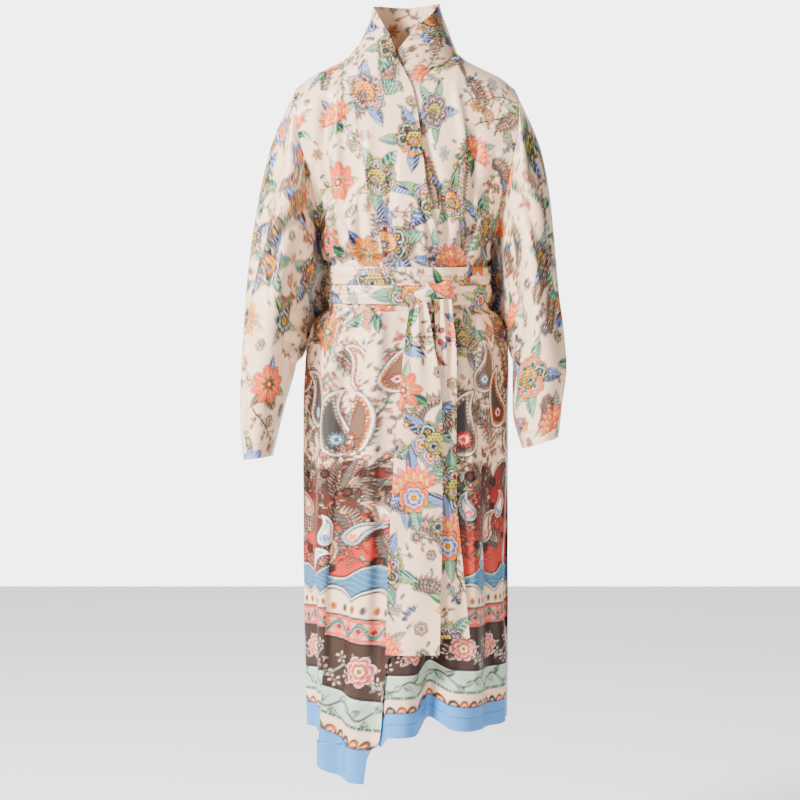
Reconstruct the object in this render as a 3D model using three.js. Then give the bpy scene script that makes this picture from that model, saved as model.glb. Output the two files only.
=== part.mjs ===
// A wrap-front yukata robe with a folded neckband, wide sleeves and a tied sash, hollow, in its worn shape.
// Millimetres, +Z up, front towards -Y. The origin is between the shoulders, level with the shoulder line.
// Right and left in the names are the wearer's: the wearer's right is at -X.
import * as THREE from "three";

// Cloth walls and clearances
const CLOTH = 2.0;
const BAND_CLOTH = 2.4;
const SEAM_GAP = 0.3;
const ARMHOLE_GAP = { top: 2.0, foot: 2.9 };
const LAYER_RISE = 5.0;
const SASH_CLEAR = 1.0;

// Heights, measured down from the shoulder line
const ARMHOLE_LEVEL = 303;
const HEM_LEVEL = 1120;
const DOME_LEVEL = 75;

// Neck opening
const NECK_HALF = 92;
const NECK_DROP = 40;
const NAPE_RISE = 45;
const NAPE_WIDTH = 80;

// Body sections: left and right reach in X, front and back depth in Y
const BODY = [
  { level: 0, left: -200, right: 200, front: 82, back: 82 },
  { level: 75, left: -190, right: 192, front: 84, back: 83 },
  { level: 140, left: -176, right: 184, front: 100, back: 92 },
  { level: 220, left: -158, right: 172, front: 110, back: 94 },
  { level: 275, left: -147, right: 158, front: 113, back: 94 },
  { level: 303, left: -143, right: 150, front: 114, back: 95 },
  { level: 325, left: -141, right: 145, front: 111, back: 95 },
  { level: 334, left: -138, right: 146, front: 107, back: 93 },
  { level: 343, left: -130, right: 141, front: 96, back: 86 },
  { level: 380, left: -128, right: 141, front: 94, back: 84 },
  { level: 419, left: -130, right: 142, front: 95, back: 86 },
  { level: 432, left: -146, right: 157, front: 104, back: 98 },
  { level: 460, left: -159, right: 168, front: 110, back: 107 },
  { level: 510, left: -167, right: 173, front: 115, back: 118 },
  { level: 600, left: -169, right: 172, front: 120, back: 126 },
  { level: 820, left: -166, right: 169, front: 124, back: 124 },
  { level: 1120, left: -159, right: 166, front: 128, back: 120 },
  { level: 1230, left: -158, right: 165, front: 129, back: 119 },
];

// Height of the shoulder line over half the body's width
const SHOULDER = [
  { x: 0, z: 14 },
  { x: 84, z: 14 },
  { x: 106, z: 0 },
  { x: 132, z: -13 },
  { x: 160, z: -27 },
  { x: 184, z: -46 },
  { x: 210, z: -70 },
];

// Armhole edge: its X on each side, and how far it bows to the front and the back
const ARMHOLE = [
  { level: 0, left: -182, right: 184, bow: 62 },
  { level: 40, left: -189, right: 191, bow: 64 },
  { level: 90, left: -184, right: 190, bow: 68 },
  { level: 150, left: -171, right: 182, bow: 66 },
  { level: 210, left: -158, right: 172, bow: 54 },
  { level: 260, left: -149, right: 161, bow: 34 },
  { level: 303, left: -143, right: 150, bow: 0 },
];

// Where the neckband is sewn on and where its free edge lies, in X, on the over front and on the one beneath
const OVER_FRONT = [
  { level: 0, seam: -92, edge: -40 },
  { level: 20, seam: -98, edge: -22 },
  { level: 62, seam: -92, edge: 10 },
  { level: 116, seam: -80, edge: 22 },
  { level: 218, seam: -63, edge: 34 },
  { level: 350, seam: -36, edge: 56 },
  { level: 412, seam: -46, edge: 57 },
  { level: 575, seam: -82, edge: 54 },
  { level: 677, seam: -102, edge: 48 },
  { level: 830, seam: -122, edge: 26 },
  { level: 983, seam: -132, edge: -22 },
  { level: 1120, seam: -139, edge: -44 },
  { level: 1162, seam: -145, edge: -61 },
  { level: 1200, seam: -148, edge: -66 },
];
const UNDER_FRONT = [
  { level: 0, seam: 88, edge: 30 },
  { level: 14, seam: 78, edge: 0 },
  { level: 36, seam: 44, edge: -38 },
  { level: 76, seam: 14, edge: -64 },
  { level: 165, seam: -12, edge: -84 },
  { level: 350, seam: -24, edge: -98 },
  { level: 600, seam: -30, edge: -112 },
  { level: 1120, seam: -36, edge: -122 },
];

// The standing collar: the band's free edge from the front of one shoulder round the neck to the other, with
// the share of the way round the neckline at which it meets the seam
const COLLAR = [
  { share: 0.0, x: -38, y: -47, z: 58 },
  { share: 0.14, x: -49, y: -16, z: 84 },
  { share: 0.32, x: -50, y: 28, z: 100 },
  { share: 0.5, x: 3, y: 64, z: 104 },
  { share: 0.68, x: 55, y: 30, z: 104 },
  { share: 0.86, x: 56, y: -10, z: 96 },
  { share: 1.0, x: 46, y: -38, z: 76 },
];
// The band's rows between the collar and the chest: seam level on the front, and the free edge
const THROAT_OVER = [
  { level: 2.5, x: -33, y: -58, z: 48 },
  { level: 9, x: -27, y: -68, z: 37 },
  { level: 20, x: -21, y: -78, z: 19 },
  { level: 38, x: -10, y: -88, z: -12 },
];
const THROAT_UNDER = [
  { level: 2.5, x: 35, y: -52, z: 64 },
  { level: 9, x: 23, y: -63, z: 51 },
  { level: 20, x: 3, y: -72, z: 27 },
  { level: 38, x: -24, y: -79, z: -9 },
];
// How far the standing band bows outwards, and the upward share of that
const BAND_BOW = 6;
const BAND_LEAN = 20;
// How far the band's seam edge stands off the cloth it is sewn to, about the neck
const EDGE_LIFT = 3.1;

// Folds: where each crest or trough starts and ends round the body in degrees (0 the left side, 90 the back,
// 180 the right side, 270 the front), its half width in degrees, its rise in millimetres at its start and end,
// and its levels
const FOLDS = [
  { name: "recess", from: 298, to: 284, half: 10, start: 0, end: -34, top: 440, foot: 1120 },
  { name: "middle lobe", from: 280, to: 266, half: 12, start: 2, end: 13, top: 420, foot: 1120 },
  { name: "right lobe", from: 314, to: 304, half: 17, start: 3, end: 13, top: 420, foot: 1120 },
  { name: "right dip", from: 333, to: 328, half: 9, start: -3, end: -8, top: 415, foot: 1120 },
  { name: "right side", from: 348, to: 346, half: 10, start: 3, end: 8, top: 415, foot: 1120 },
  { name: "tail trough", from: 266, to: 251, half: 8, start: -4, end: -7, top: 415, foot: 1120 },
  { name: "band crest", from: 256, to: 238, half: 8, start: 4, end: 7, top: 412, foot: 1120 },
  { name: "band trough", from: 243, to: 225, half: 8, start: -5, end: -10, top: 414, foot: 1120 },
  { name: "hip crest", from: 228, to: 213, half: 9, start: 4, end: 9, top: 414, foot: 1120 },
  { name: "hip trough", from: 211, to: 199, half: 8, start: -4, end: -9, top: 414, foot: 1120 },
  { name: "side crest", from: 196, to: 186, half: 8, start: 3, end: 8, top: 414, foot: 1120 },
  { name: "back 1", from: 174, to: 173, half: 8, start: -4, end: -10, top: 414, foot: 1120 },
  { name: "back 2", from: 160, to: 158, half: 9, start: 4, end: 12, top: 414, foot: 1120 },
  { name: "back 3", from: 144, to: 142, half: 9, start: -4, end: -12, top: 414, foot: 1120 },
  { name: "back 4", from: 129, to: 127, half: 9, start: 5, end: 11, top: 414, foot: 1120 },
  { name: "back 5", from: 113, to: 112, half: 9, start: -5, end: -13, top: 414, foot: 1120 },
  { name: "back 6", from: 98, to: 96, half: 10, start: 4, end: 13, top: 414, foot: 1120 },
  { name: "back 7", from: 82, to: 80, half: 9, start: -4, end: -11, top: 414, foot: 1120 },
  { name: "back 8", from: 66, to: 65, half: 9, start: 4, end: 12, top: 414, foot: 1120 },
  { name: "back 9", from: 51, to: 49, half: 9, start: -5, end: -12, top: 414, foot: 1120 },
  { name: "back 10", from: 35, to: 33, half: 9, start: 4, end: 11, top: 414, foot: 1120 },
  { name: "back 11", from: 18, to: 17, half: 9, start: -4, end: -10, top: 414, foot: 1120 },
  { name: "back 12", from: 3, to: 2, half: 8, start: 3, end: 8, top: 414, foot: 1120 },
  { name: "chest crest", from: 224, to: 236, half: 8, start: 3, end: 7, top: 120, foot: 345 },
  { name: "chest trough", from: 214, to: 223, half: 7, start: -3, end: -7, top: 120, foot: 345 },
  { name: "arm crest", from: 205, to: 209, half: 8, start: 2, end: 6, top: 170, foot: 345 },
  { name: "bust trough", from: 318, to: 306, half: 8, start: -2, end: -7, top: 150, foot: 345 },
  { name: "bust crest", from: 330, to: 320, half: 8, start: 2, end: 6, top: 150, foot: 345 },
  { name: "arm trough", from: 338, to: 336, half: 8, start: -2, end: -5, top: 190, foot: 345 },
  { name: "blade crest", from: 122, to: 118, half: 12, start: 1, end: 6, top: 160, foot: 345 },
  { name: "spine trough", from: 90, to: 90, half: 14, start: -1, end: -6, top: 120, foot: 345 },
  { name: "blade crest 2", from: 58, to: 62, half: 12, start: 1, end: 6, top: 160, foot: 345 },
];
const FOLD_FADE = 30;

// Sleeve rings: the outer point and the inner point in the front view, and the centre and half depth in Y
const RIGHT_SLEEVE = [
  { outerX: -222, outerZ: -128, innerX: -148, innerZ: -342, centre: -2, deep: 92 },
  { outerX: -242, outerZ: -205, innerX: -161, innerZ: -386, centre: -8, deep: 98 },
  { outerX: -257, outerZ: -290, innerX: -168, innerZ: -432, centre: -14, deep: 98 },
  { outerX: -266, outerZ: -370, innerX: -174, innerZ: -480, centre: -22, deep: 95 },
  { outerX: -271, outerZ: -450, innerX: -184, innerZ: -524, centre: -30, deep: 92 },
  { outerX: -276, outerZ: -530, innerX: -198, innerZ: -572, centre: -36, deep: 88 },
  { outerX: -276, outerZ: -605, innerX: -210, innerZ: -620, centre: -40, deep: 86 },
  { outerX: -270, outerZ: -674, innerX: -222, innerZ: -668, centre: -42, deep: 86 },
];
const LEFT_SLEEVE = [
  { outerX: 224, outerZ: -130, innerX: 162, innerZ: -338, centre: -2, deep: 92 },
  { outerX: 242, outerZ: -205, innerX: 170, innerZ: -380, centre: -8, deep: 98 },
  { outerX: 251, outerZ: -285, innerX: 174, innerZ: -428, centre: -14, deep: 98 },
  { outerX: 257, outerZ: -365, innerX: 178, innerZ: -474, centre: -24, deep: 95 },
  { outerX: 264, outerZ: -440, innerX: 181, innerZ: -512, centre: -36, deep: 91 },
  { outerX: 268, outerZ: -515, innerX: 180, innerZ: -556, centre: -44, deep: 88 },
  { outerX: 263, outerZ: -575, innerX: 182, innerZ: -606, centre: -48, deep: 86 },
  { outerX: 256, outerZ: -634, innerX: 196, innerZ: -655, centre: -50, deep: 86 },
];
// Folds of a sleeve: turn is the share of the way round from the outer point by the front, and rows count from
// the armhole. The rise is away from the sleeve's middle, and the lean is towards the body.
const SLEEVE_FOLDS = [
  { name: "front trough", turn: 0.13, half: 0.07, rise: -13, lean: 0, top: 0, foot: 4.5 },
  { name: "front crest", turn: 0.25, half: 0.08, rise: 6, lean: 0, top: 0.5, foot: 5.5 },
  { name: "elbow trough", turn: 0.37, half: 0.07, rise: -9, lean: 0, top: 1, foot: 6 },
  { name: "cuff crest", turn: 0.14, half: 0.09, rise: 5, lean: 0, top: 5, foot: 9 },
  { name: "slack behind", turn: 0.65, half: 0.12, rise: 0, lean: 36, top: 0.2, foot: 4.6 },
  { name: "back trough", turn: 0.83, half: 0.08, rise: -11, lean: 0, top: 0, foot: 6 },
  { name: "back crest", turn: 0.74, half: 0.06, rise: 5, lean: 0, top: 2, foot: 8 },
];

// The sash is wound twice. Each winding dips at the front: the sag at each angle, added to its levels.
const SASH = [
  { name: "sash_upper_winding", top: 350, foot: 380.5, puff: 2.2 },
  { name: "sash_lower_winding", top: 381.5, foot: 412, puff: 2.6 },
];
const SASH_SAG = [
  { angle: 0, sag: -4 },
  { angle: 90, sag: 0 },
  { angle: 180, sag: -2 },
  { angle: 235, sag: 3 },
  { angle: 285, sag: 6 },
  { angle: 330, sag: 1 },
  { angle: 360, sag: -4 },
];
const KNOT = { x: 50, width: 72, height: 29, depth: 16, level: 389, off: 12.3 };

// The sash's hanging ends in the front view, and how far in front of the origin each hangs
const RIGHT_END = [
  { level: 413.4, left: 9, right: 34, front: 113 },
  { level: 440, left: 4, right: 40, front: 121 },
  { level: 490, left: -2, right: 48, front: 130 },
  { level: 545, left: -7, right: 57, front: 136 },
  { level: 620, left: -14, right: 61, front: 140 },
  { level: 700, left: -20, right: 61, front: 143 },
  { level: 790, left: -25, right: 60, front: 146 },
  { level: 900, left: -30, right: 58, front: 148 },
  { level: 990, left: -32, right: 56, front: 150 },
];
const LEFT_END = [
  { level: 408.6, left: 48, right: 76, front: 113 },
  { level: 440, left: 49, right: 79, front: 117 },
  { level: 490, left: 51, right: 84, front: 124 },
  { level: 560, left: 52, right: 85, front: 128 },
  { level: 650, left: 54, right: 84, front: 131 },
  { level: 740, left: 52, right: 85, front: 134 },
  { level: 810, left: 50, right: 91, front: 136 },
  { level: 890, left: 49, right: 99, front: 138 },
  { level: 965, left: 48, right: 106, front: 140 },
];
// The ends curve back towards the sides on this radius, and are pleated by this much at the knot
const END_RADIUS = 210;
const END_PLEAT = { depth: 4, fade: 200 };

// Levels of the drooping corner of the band below the hem
const FLAP = [1162, 1200];

// How far the hem lifts at each angle round the body
const HEM_LIFT = [
  { angle: 0, lift: 10 },
  { angle: 90, lift: 6 },
  { angle: 180, lift: -3 },
  { angle: 248, lift: -5 },
  { angle: 254, lift: -24 },
  { angle: 260, lift: -7 },
  { angle: 274, lift: -6 },
  { angle: 285, lift: 22 },
  { angle: 297, lift: 3 },
  { angle: 310, lift: 0 },
  { angle: 335, lift: 2 },
  { angle: 360, lift: 10 },
];

// Rows down the body, and columns round each panel
const ROWS = [
  0, 2.5, 9, 20, 38, 66, 100, 140, 180, 220, 262, 303, 322, 334, 343, 380, 419, 432, 456, 492, 545, 620, 700,
  790, 880, 960, 1040, 1120,
];
const BACK_COLUMNS = 38;
const OVER_COLUMNS = 15;
// Columns of the front beneath, as spans of the skirt between these marks from the left side to the band seam
const UNDER_SPANS = [8, 9, 3];
const EDGE_STEP = 0.4;
const SLEEVE_COLUMNS = 22;
const SLEEVE_STEPS = 12;
const BAND_COLUMNS = 8;
const SASH_COLUMNS = 46;
const SASH_STEPS = 2;
const END_COLUMNS = 6;

const DEGREES = Math.PI / 180;
const mix = (a, b, t) => a + (b - a) * t;
const clamp = (t) => Math.min(1, Math.max(0, t));
const smooth = (t) => clamp(t) ** 2 * (3 - 2 * clamp(t));

// The value of a column of a table at a place along its key, on a smooth curve that doesn't overshoot.
function read(table, key, at, column) {
  const last = table.length - 1;
  if (at <= table[0][key]) return table[0][column];
  if (at >= table[last][key]) return table[last][column];
  let i = 0;
  while (table[i + 1][key] < at) i += 1;
  const slope = (k) => (table[k + 1][column] - table[k][column]) / (table[k + 1][key] - table[k][key]);
  const tangent = (k) => {
    if (k === 0) return slope(0);
    if (k === last) return slope(last - 1);
    const before = slope(k - 1);
    const after = slope(k);
    return before * after <= 0 ? 0 : (2 * before * after) / (before + after);
  };
  const span = table[i + 1][key] - table[i][key];
  const t = (at - table[i][key]) / span;
  const bend = tangent(i) * span;
  const bendNext = tangent(i + 1) * span;
  const a = table[i][column];
  const b = table[i + 1][column];
  return a + t * (bend + t * (3 * (b - a) - 2 * bend - bendNext + t * (bend + bendNext - 2 * (b - a))));
}

// The share of full depth near the shoulder line, where front and back curve over to meet.
const dome = (level) => Math.sqrt(1 - (1 - Math.min(level / DOME_LEVEL, 1)) ** 2);

// How far the folds rise or sink at an angle round the body and a level.
function foldRise(angle, level) {
  let rise = 0;
  for (const fold of FOLDS) {
    const along = (level - fold.top) / (fold.foot - fold.top);
    if (along <= 0) continue;
    const centre = mix(fold.from, fold.to, clamp(along));
    const away = Math.abs(((angle - centre + 540) % 360) - 180) / fold.half;
    if (away >= 2) continue;
    const fadeIn = smooth((level - fold.top) / FOLD_FADE);
    const fadeOut = fold.foot < HEM_LEVEL ? smooth((fold.foot - level) / FOLD_FADE + 0.1) : 1;
    rise += mix(fold.start, fold.end, smooth(along)) * fadeIn * fadeOut * Math.exp(-away * away * 1.6);
  }
  return rise;
}

// A point of the body's cloth. The angle is 0 at the left side, 90 at the back, 180 at the right side and 270
// in front.
function bodyPoint(angle, level, off = 0) {
  const turn = ((angle % 360) + 360) % 360;
  const inFront = turn > 180;
  const onRight = turn > 90 && turn < 270;
  const side = onRight ? "left" : "right";
  const middle = (read(BODY, "level", level, "left") + read(BODY, "level", level, "right")) / 2;
  const depth = read(BODY, "level", level, inFront ? "front" : "back") * dome(level) + SEAM_GAP / 2;
  const fromSide = Math.abs((inFront ? 270 : 90) - turn);
  const share = 1 - fromSide / 90;
  const open = level < ARMHOLE_LEVEL;
  const flatness = open ? 1 - smooth((level - 200) / (ARMHOLE_LEVEL - 200)) : 0;
  const reach = open ? read(ARMHOLE, "level", level, side) : read(BODY, "level", level, side);
  const bow = open ? read(ARMHOLE, "level", level, "bow") * dome(level) + SEAM_GAP / 2 : 0;
  const across = mix(Math.cos(share * 90 * DEGREES), 1 - share, flatness);
  const x = middle + (reach - middle) * across;
  const y = bow + (depth - bow) * Math.sin(share * 90 * DEGREES);
  const fromTop = 1 - clamp(level / ARMHOLE_LEVEL);
  const nape = inFront ? 0 : NAPE_RISE * Math.exp(-((x / NAPE_WIDTH) ** 2)) * (1 - Math.exp(-level / 15));
  const lift = read(HEM_LIFT, "angle", turn, "lift") * clamp((level - 420) / (HEM_LEVEL - 420)) ** 2;
  const z = -level + lift + read(SHOULDER, "x", Math.abs(x), "z") * fromTop ** 1.5 + nape * fromTop ** 2;
  const out = new THREE.Vector2((x - middle) / (reach * reach), (inFront ? -y : y) / Math.max(depth, 8) ** 2);
  out.normalize().multiplyScalar(foldRise(turn, level) + off * dome(level + 4));
  return new THREE.Vector3(x + out.x, (inFront ? -y : y) + out.y, z);
}

// The angle in front, or at the back, at which the body's cloth crosses an X at a level.
function angleAt(x, level, inFront = true) {
  let low = inFront ? 180 : 0;
  let high = inFront ? 360 : 180;
  for (let i = 0; i < 40; i += 1) {
    const half = (low + high) / 2;
    const further = bodyPoint(half, level).x < x;
    if (further === inFront) low = half;
    else high = half;
  }
  return (low + high) / 2;
}

// How far the front that lies over stands off the one beneath, from nothing at the side seam.
const overRise = (angle) => LAYER_RISE * smooth((angle - 181) / 20) * (1 - smooth((angle - 292) / 16));

// A closed wall of cloth about the surface that place(row, column) gives. The rows are whole numbers, and the
// columns may lie a little beyond the edges, so that pieces that meet at a seam have the same slope there.
// A tube joins its last column to its first.
function wall(name, place, down, across, thickness, colour, tube = false) {
  const positions = [];
  for (const side of [0.5, -0.5]) {
    for (let i = 0; i < down; i += 1) {
      for (let j = 0; j < across; j += 1) {
        const along = place(i, j + EDGE_STEP).sub(place(i, j - EDGE_STEP));
        const fall = place(Math.min(i + 1, down - 1), j).sub(place(Math.max(i - 1, 0), j));
        const normal = along.cross(fall).normalize();
        positions.push(...place(i, j).addScaledVector(normal, side * thickness).toArray());
      }
    }
  }
  const faces = [];
  const inner = down * across;
  // Both faces of the wall are split along the same diagonal, so that they never cross.
  const quad = tube
    ? (a, b, c, d) => faces.push(a, b, c, a, c, d)
    : (a, b, c, d) => faces.push(b, c, d, b, d, a);
  const last = tube ? across : across - 1;
  for (let i = 0; i < down - 1; i += 1) {
    for (let j = 0; j < last; j += 1) {
      const a = i * across + j;
      const b = i * across + ((j + 1) % across);
      quad(a, b, b + across, a + across);
      quad(inner + a, inner + a + across, inner + b + across, inner + b);
    }
  }
  for (let j = 0; j < last; j += 1) {
    const next = (j + 1) % across;
    const foot = (down - 1) * across;
    quad(inner + j, inner + next, next, j);
    quad(foot + j, foot + next, inner + foot + next, inner + foot + j);
  }
  if (!tube) {
    for (let i = 0; i < down - 1; i += 1) {
      const a = i * across;
      const b = a + across - 1;
      quad(a, a + across, inner + a + across, inner + a);
      quad(b + across, b, inner + b, inner + b + across);
    }
  }
  const geometry = new THREE.BufferGeometry();
  geometry.setAttribute("position", new THREE.Float32BufferAttribute(positions, 3));
  // A negative volume means that the faces point inwards.
  let volume = 0;
  const corner = (k) => new THREE.Vector3().fromArray(positions, 3 * k);
  for (let f = 0; f < faces.length; f += 3) {
    volume += corner(faces[f]).dot(corner(faces[f + 1]).cross(corner(faces[f + 2])));
  }
  if (volume < 0) faces.reverse();
  geometry.setIndex(faces);
  geometry.computeVertexNormals();
  const mesh = new THREE.Mesh(
    geometry,
    new THREE.MeshStandardMaterial({ color: colour, roughness: 0.45, metalness: 0 }),
  );
  mesh.name = name;
  return mesh;
}

const GROUND = 0xe9dacb;
const half = SEAM_GAP / 2 / 2.4;

// The share of the neckline drop at an X: the back is cut away in a curve at the neck.
const neckDrop = (x) => NECK_DROP * Math.max(0, 1 - (x / NECK_HALF) ** 2);

function backPoint(share, row) {
  const angle = mix(half, 180 - half, share);
  const drop = neckDrop(bodyPoint(clamp(angle / 180) * 180, 0).x);
  const level = row < ARMHOLE_LEVEL ? mix(drop, ARMHOLE_LEVEL, row / ARMHOLE_LEVEL) : row;
  return bodyPoint(angle, level);
}

function back() {
  const place = (i, j) => backPoint(j / BACK_COLUMNS, ROWS[i]);
  return wall("back", place, ROWS.length, BACK_COLUMNS + 1, CLOTH, GROUND);
}

// The front that lies over, on the wearer's right: from the side seam to the band seam.
function overPoint(share, level, off = 0) {
  const seam = angleAt(read(OVER_FRONT, "level", level, "seam"), level) - 2 * half;
  const angle = mix(180 + half, seam, share);
  return bodyPoint(angle, level, overRise(angle) + off);
}

function frontOver() {
  const place = (i, j) => overPoint(j / OVER_COLUMNS, ROWS[i]);
  return wall("front_right_over", place, ROWS.length, OVER_COLUMNS + 1, CLOTH, GROUND);
}

// The angles that bound the spans of the under front's columns, which crowd into the recess by the sash ends.
function underAngles(level) {
  const seam = angleAt(read(UNDER_FRONT, "level", level, "seam"), level) + 2 * half;
  const recess = mix(298, 284, clamp((level - 440) / (HEM_LEVEL - 440)));
  const open = smooth((level - 300) / 160);
  const beyond = mix(mix(360, seam, 0.4), recess + 17, open);
  const before = mix(mix(360, seam, 0.85), recess - 16, open);
  return [360 - half, beyond, before, seam];
}

function frontUnder() {
  const marks = ROWS.map(underAngles);
  const place = (i, j) => {
    let span = 0;
    let first = 0;
    while (span < UNDER_SPANS.length - 1 && j > first + UNDER_SPANS[span]) {
      first += UNDER_SPANS[span];
      span += 1;
    }
    return bodyPoint(mix(marks[i][span], marks[i][span + 1], (j - first) / UNDER_SPANS[span]), ROWS[i]);
  };
  const columns = UNDER_SPANS.reduce((sum, count) => sum + count, 1);
  return wall("front_left_under", place, ROWS.length, columns, CLOTH, GROUND);
}

// A point of the band where it lies on a front: share 0 at the seam and 1 at the free edge.
function bandOnFront(table, over, level, share, off = 0) {
  const seam = angleAt(read(table, "level", level, "seam"), level) + (over ? 2.6 : -2) * half;
  const edge = angleAt(read(table, "level", level, "edge"), level);
  const angle = mix(seam, edge, share);
  return bodyPoint(angle, level, (over ? overRise(Math.min(angle, 290)) + 0.2 : 0) + off);
}

// A row of the band in the air: straight from its seam to its free edge, bowed outwards.
function bandInAir(seamPoint, edgePoint, share) {
  const outward = seamPoint.clone().add(edgePoint).multiplyScalar(0.5).setZ(BAND_LEAN).normalize();
  const bow = BAND_BOW * Math.sin(Math.PI * share);
  return seamPoint.clone().lerp(edgePoint, share).addScaledVector(outward, bow);
}

// The band's seam edge at the throat, lifted square to the cloth.
function throatSeam(table, over, level) {
  const share = dome(level);
  const point = bandOnFront(table, over, level, 0, EDGE_LIFT * share);
  point.z += EDGE_LIFT * Math.sqrt(1 - share * share);
  return point;
}

// The seam's path round the back of the neck, just above the panels' edge.
function necklinePoint(share) {
  const x = -NECK_HALF * Math.cos(Math.PI * share);
  const level = neckDrop(x);
  const point = bodyPoint(angleAt(x, level, false), level);
  point.z += EDGE_LIFT;
  return point;
}

// The band's rows, each a function from the share across it to a point: from the hem of the over front, up and
// round the neck, and down the front beneath.
function bandRows() {
  const rows = [];
  const onFronts = ROWS.filter((level) => level > 60);
  for (const level of [...FLAP].reverse()) {
    const droop = (share) => (level - HEM_LEVEL) * mix(0.53, 1, Math.sin((share * Math.PI) / 2));
    rows.push((share) => bandOnFront(OVER_FRONT, true, HEM_LEVEL + droop(share), share));
  }
  for (const level of [...onFronts].reverse()) {
    rows.push((share) => bandOnFront(OVER_FRONT, true, level, share));
  }
  for (const row of [...THROAT_OVER].reverse()) {
    const seam = throatSeam(OVER_FRONT, true, row.level);
    rows.push((share) => bandInAir(seam, new THREE.Vector3(row.x, row.y, row.z), share));
  }
  for (const row of COLLAR) {
    const seam = necklinePoint(mix(0.04, 0.96, row.share));
    rows.push((share) => bandInAir(seam, new THREE.Vector3(row.x, row.y, row.z), share));
  }
  for (const row of THROAT_UNDER) {
    const seam = throatSeam(UNDER_FRONT, false, row.level);
    rows.push((share) => bandInAir(seam, new THREE.Vector3(row.x, row.y, row.z), share));
  }
  for (const level of onFronts) {
    rows.push((share) => bandOnFront(UNDER_FRONT, false, level, share));
  }
  return rows;
}

function neckband() {
  const rows = bandRows();
  const place = (i, j) => rows[i](clamp(j / BAND_COLUMNS));
  return wall("neckband", place, rows.length, BAND_COLUMNS + 1, BAND_CLOTH, GROUND);
}

// A point of the sleeve's first ring, which follows the armhole.
function armholePoint(onRight, turn) {
  const level = (ARMHOLE_LEVEL * (1 - Math.cos(2 * Math.PI * turn))) / 2;
  const inFront = turn < 0.5;
  const angle = onRight ? 180 + (inFront ? 0.001 : -0.001) : inFront ? 359.999 : 0.001;
  const point = bodyPoint(angle, level);
  point.x += (onRight ? -1 : 1) * mix(ARMHOLE_GAP.top, ARMHOLE_GAP.foot, smooth((level - 110) / 130));
  if (level < 0.5) point.y = 0;
  return point;
}

// A point of a sleeve: row 0 is the armhole ring and whole numbers are the table's rings.
function sleevePoint(table, onRight, row, turn) {
  const ring = (k, column) => table[Math.min(table.length, Math.max(1, k)) - 1][column];
  const point = (k) => {
    if (k <= 0) return armholePoint(onRight, turn);
    const outer = new THREE.Vector3(ring(k, "outerX"), ring(k, "centre"), ring(k, "outerZ"));
    const inner = new THREE.Vector3(ring(k, "innerX"), ring(k, "centre"), ring(k, "innerZ"));
    const middle = outer.clone().add(inner).multiplyScalar(0.5);
    const swing = 2 * Math.PI * turn;
    middle.addScaledVector(outer.sub(inner), Math.cos(swing) / 2);
    middle.y -= ring(k, "deep") * Math.sin(swing);
    return middle;
  };
  const k = Math.floor(row);
  const t = row - k;
  const [a, b, c, d] = [point(Math.max(0, k - 1)), point(k), point(Math.min(k + 1, table.length)),
    point(Math.min(k + 2, table.length))];
  const place = new THREE.Vector3();
  for (const axis of ["x", "y", "z"]) {
    const slope = c[axis] - a[axis];
    const bend = 2 * a[axis] - 5 * b[axis] + 4 * c[axis] - d[axis];
    const twist = 3 * (b[axis] - c[axis]) + d[axis] - a[axis];
    place[axis] = b[axis] + 0.5 * t * (slope + t * (bend + t * twist));
  }
  let rise = 0;
  let lean = 0;
  for (const fold of SLEEVE_FOLDS) {
    const away = Math.abs(((turn - fold.turn + 1.5) % 1) - 0.5) / fold.half;
    const along = smooth((row - fold.top) / 1.2) * smooth((fold.foot - row) / 1.6);
    rise += fold.rise * along * Math.exp(-away * away * 1.6);
    lean += fold.lean * along * Math.exp(-away * away * 1.6);
  }
  const swing = 2 * Math.PI * turn;
  place.x += (onRight ? -1 : 1) * (rise * Math.cos(swing) - lean);
  place.y -= rise * Math.sin(swing);
  return place;
}

function sleeve(name, table, onRight) {
  const place = (i, j) =>
    sleevePoint(table, onRight, (i / SLEEVE_STEPS) * table.length, (((j + 0.5) / SLEEVE_COLUMNS) + 1) % 1);
  return wall(name, place, SLEEVE_STEPS + 1, SLEEVE_COLUMNS, CLOTH, GROUND, true);
}

// A point of the sash on the waist, at a distance off the cloth under it.
function sashPoint(angle, level, off) {
  const sag = read(SASH_SAG, "angle", ((angle % 360) + 360) % 360, "sag");
  const point = bodyPoint(angle, level + sag, 0);
  const waist = bodyPoint(angle, 380, overRise(angle) + CLOTH / 2 + SASH_CLEAR + CLOTH / 2 + off);
  return new THREE.Vector3(waist.x, waist.y, point.z);
}

function winding(part) {
  const place = (i, j) => {
    const share = i / SASH_STEPS;
    const off = 1.6 + part.puff * Math.sin(Math.PI * share);
    return sashPoint((360 * j) / SASH_COLUMNS, mix(part.top, part.foot, share), off);
  };
  return wall(part.name, place, SASH_STEPS + 1, SASH_COLUMNS, CLOTH, GROUND, true);
}

// The knot: the sash folded over itself, a rounded lump in front of both windings.
function knot() {
  const rings = 9;
  const around = 12;
  const grid = [];
  for (let i = 0; i <= rings; i += 1) {
    const along = mix(-1, 1, i / rings);
    const place = angleAt(KNOT.x + (along * KNOT.width) / 2, KNOT.level);
    const centre = sashPoint(place, KNOT.level, KNOT.off);
    const pinch = Math.sqrt(1.02 - along * along) * (1 - 0.25 * Math.cos(2 * Math.PI * along));
    grid.push(Array.from({ length: around }, (_, j) => {
      const swing = (2 * Math.PI * j) / around;
      return new THREE.Vector3(
        centre.x,
        centre.y + (pinch * KNOT.depth * Math.sin(swing)) / 2.6 + 3 * along * along,
        centre.z + (pinch * KNOT.height * Math.cos(swing)) / 2 + 6 * along,
      );
    }));
  }
  return solidTube("sash_knot", grid);
}

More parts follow.
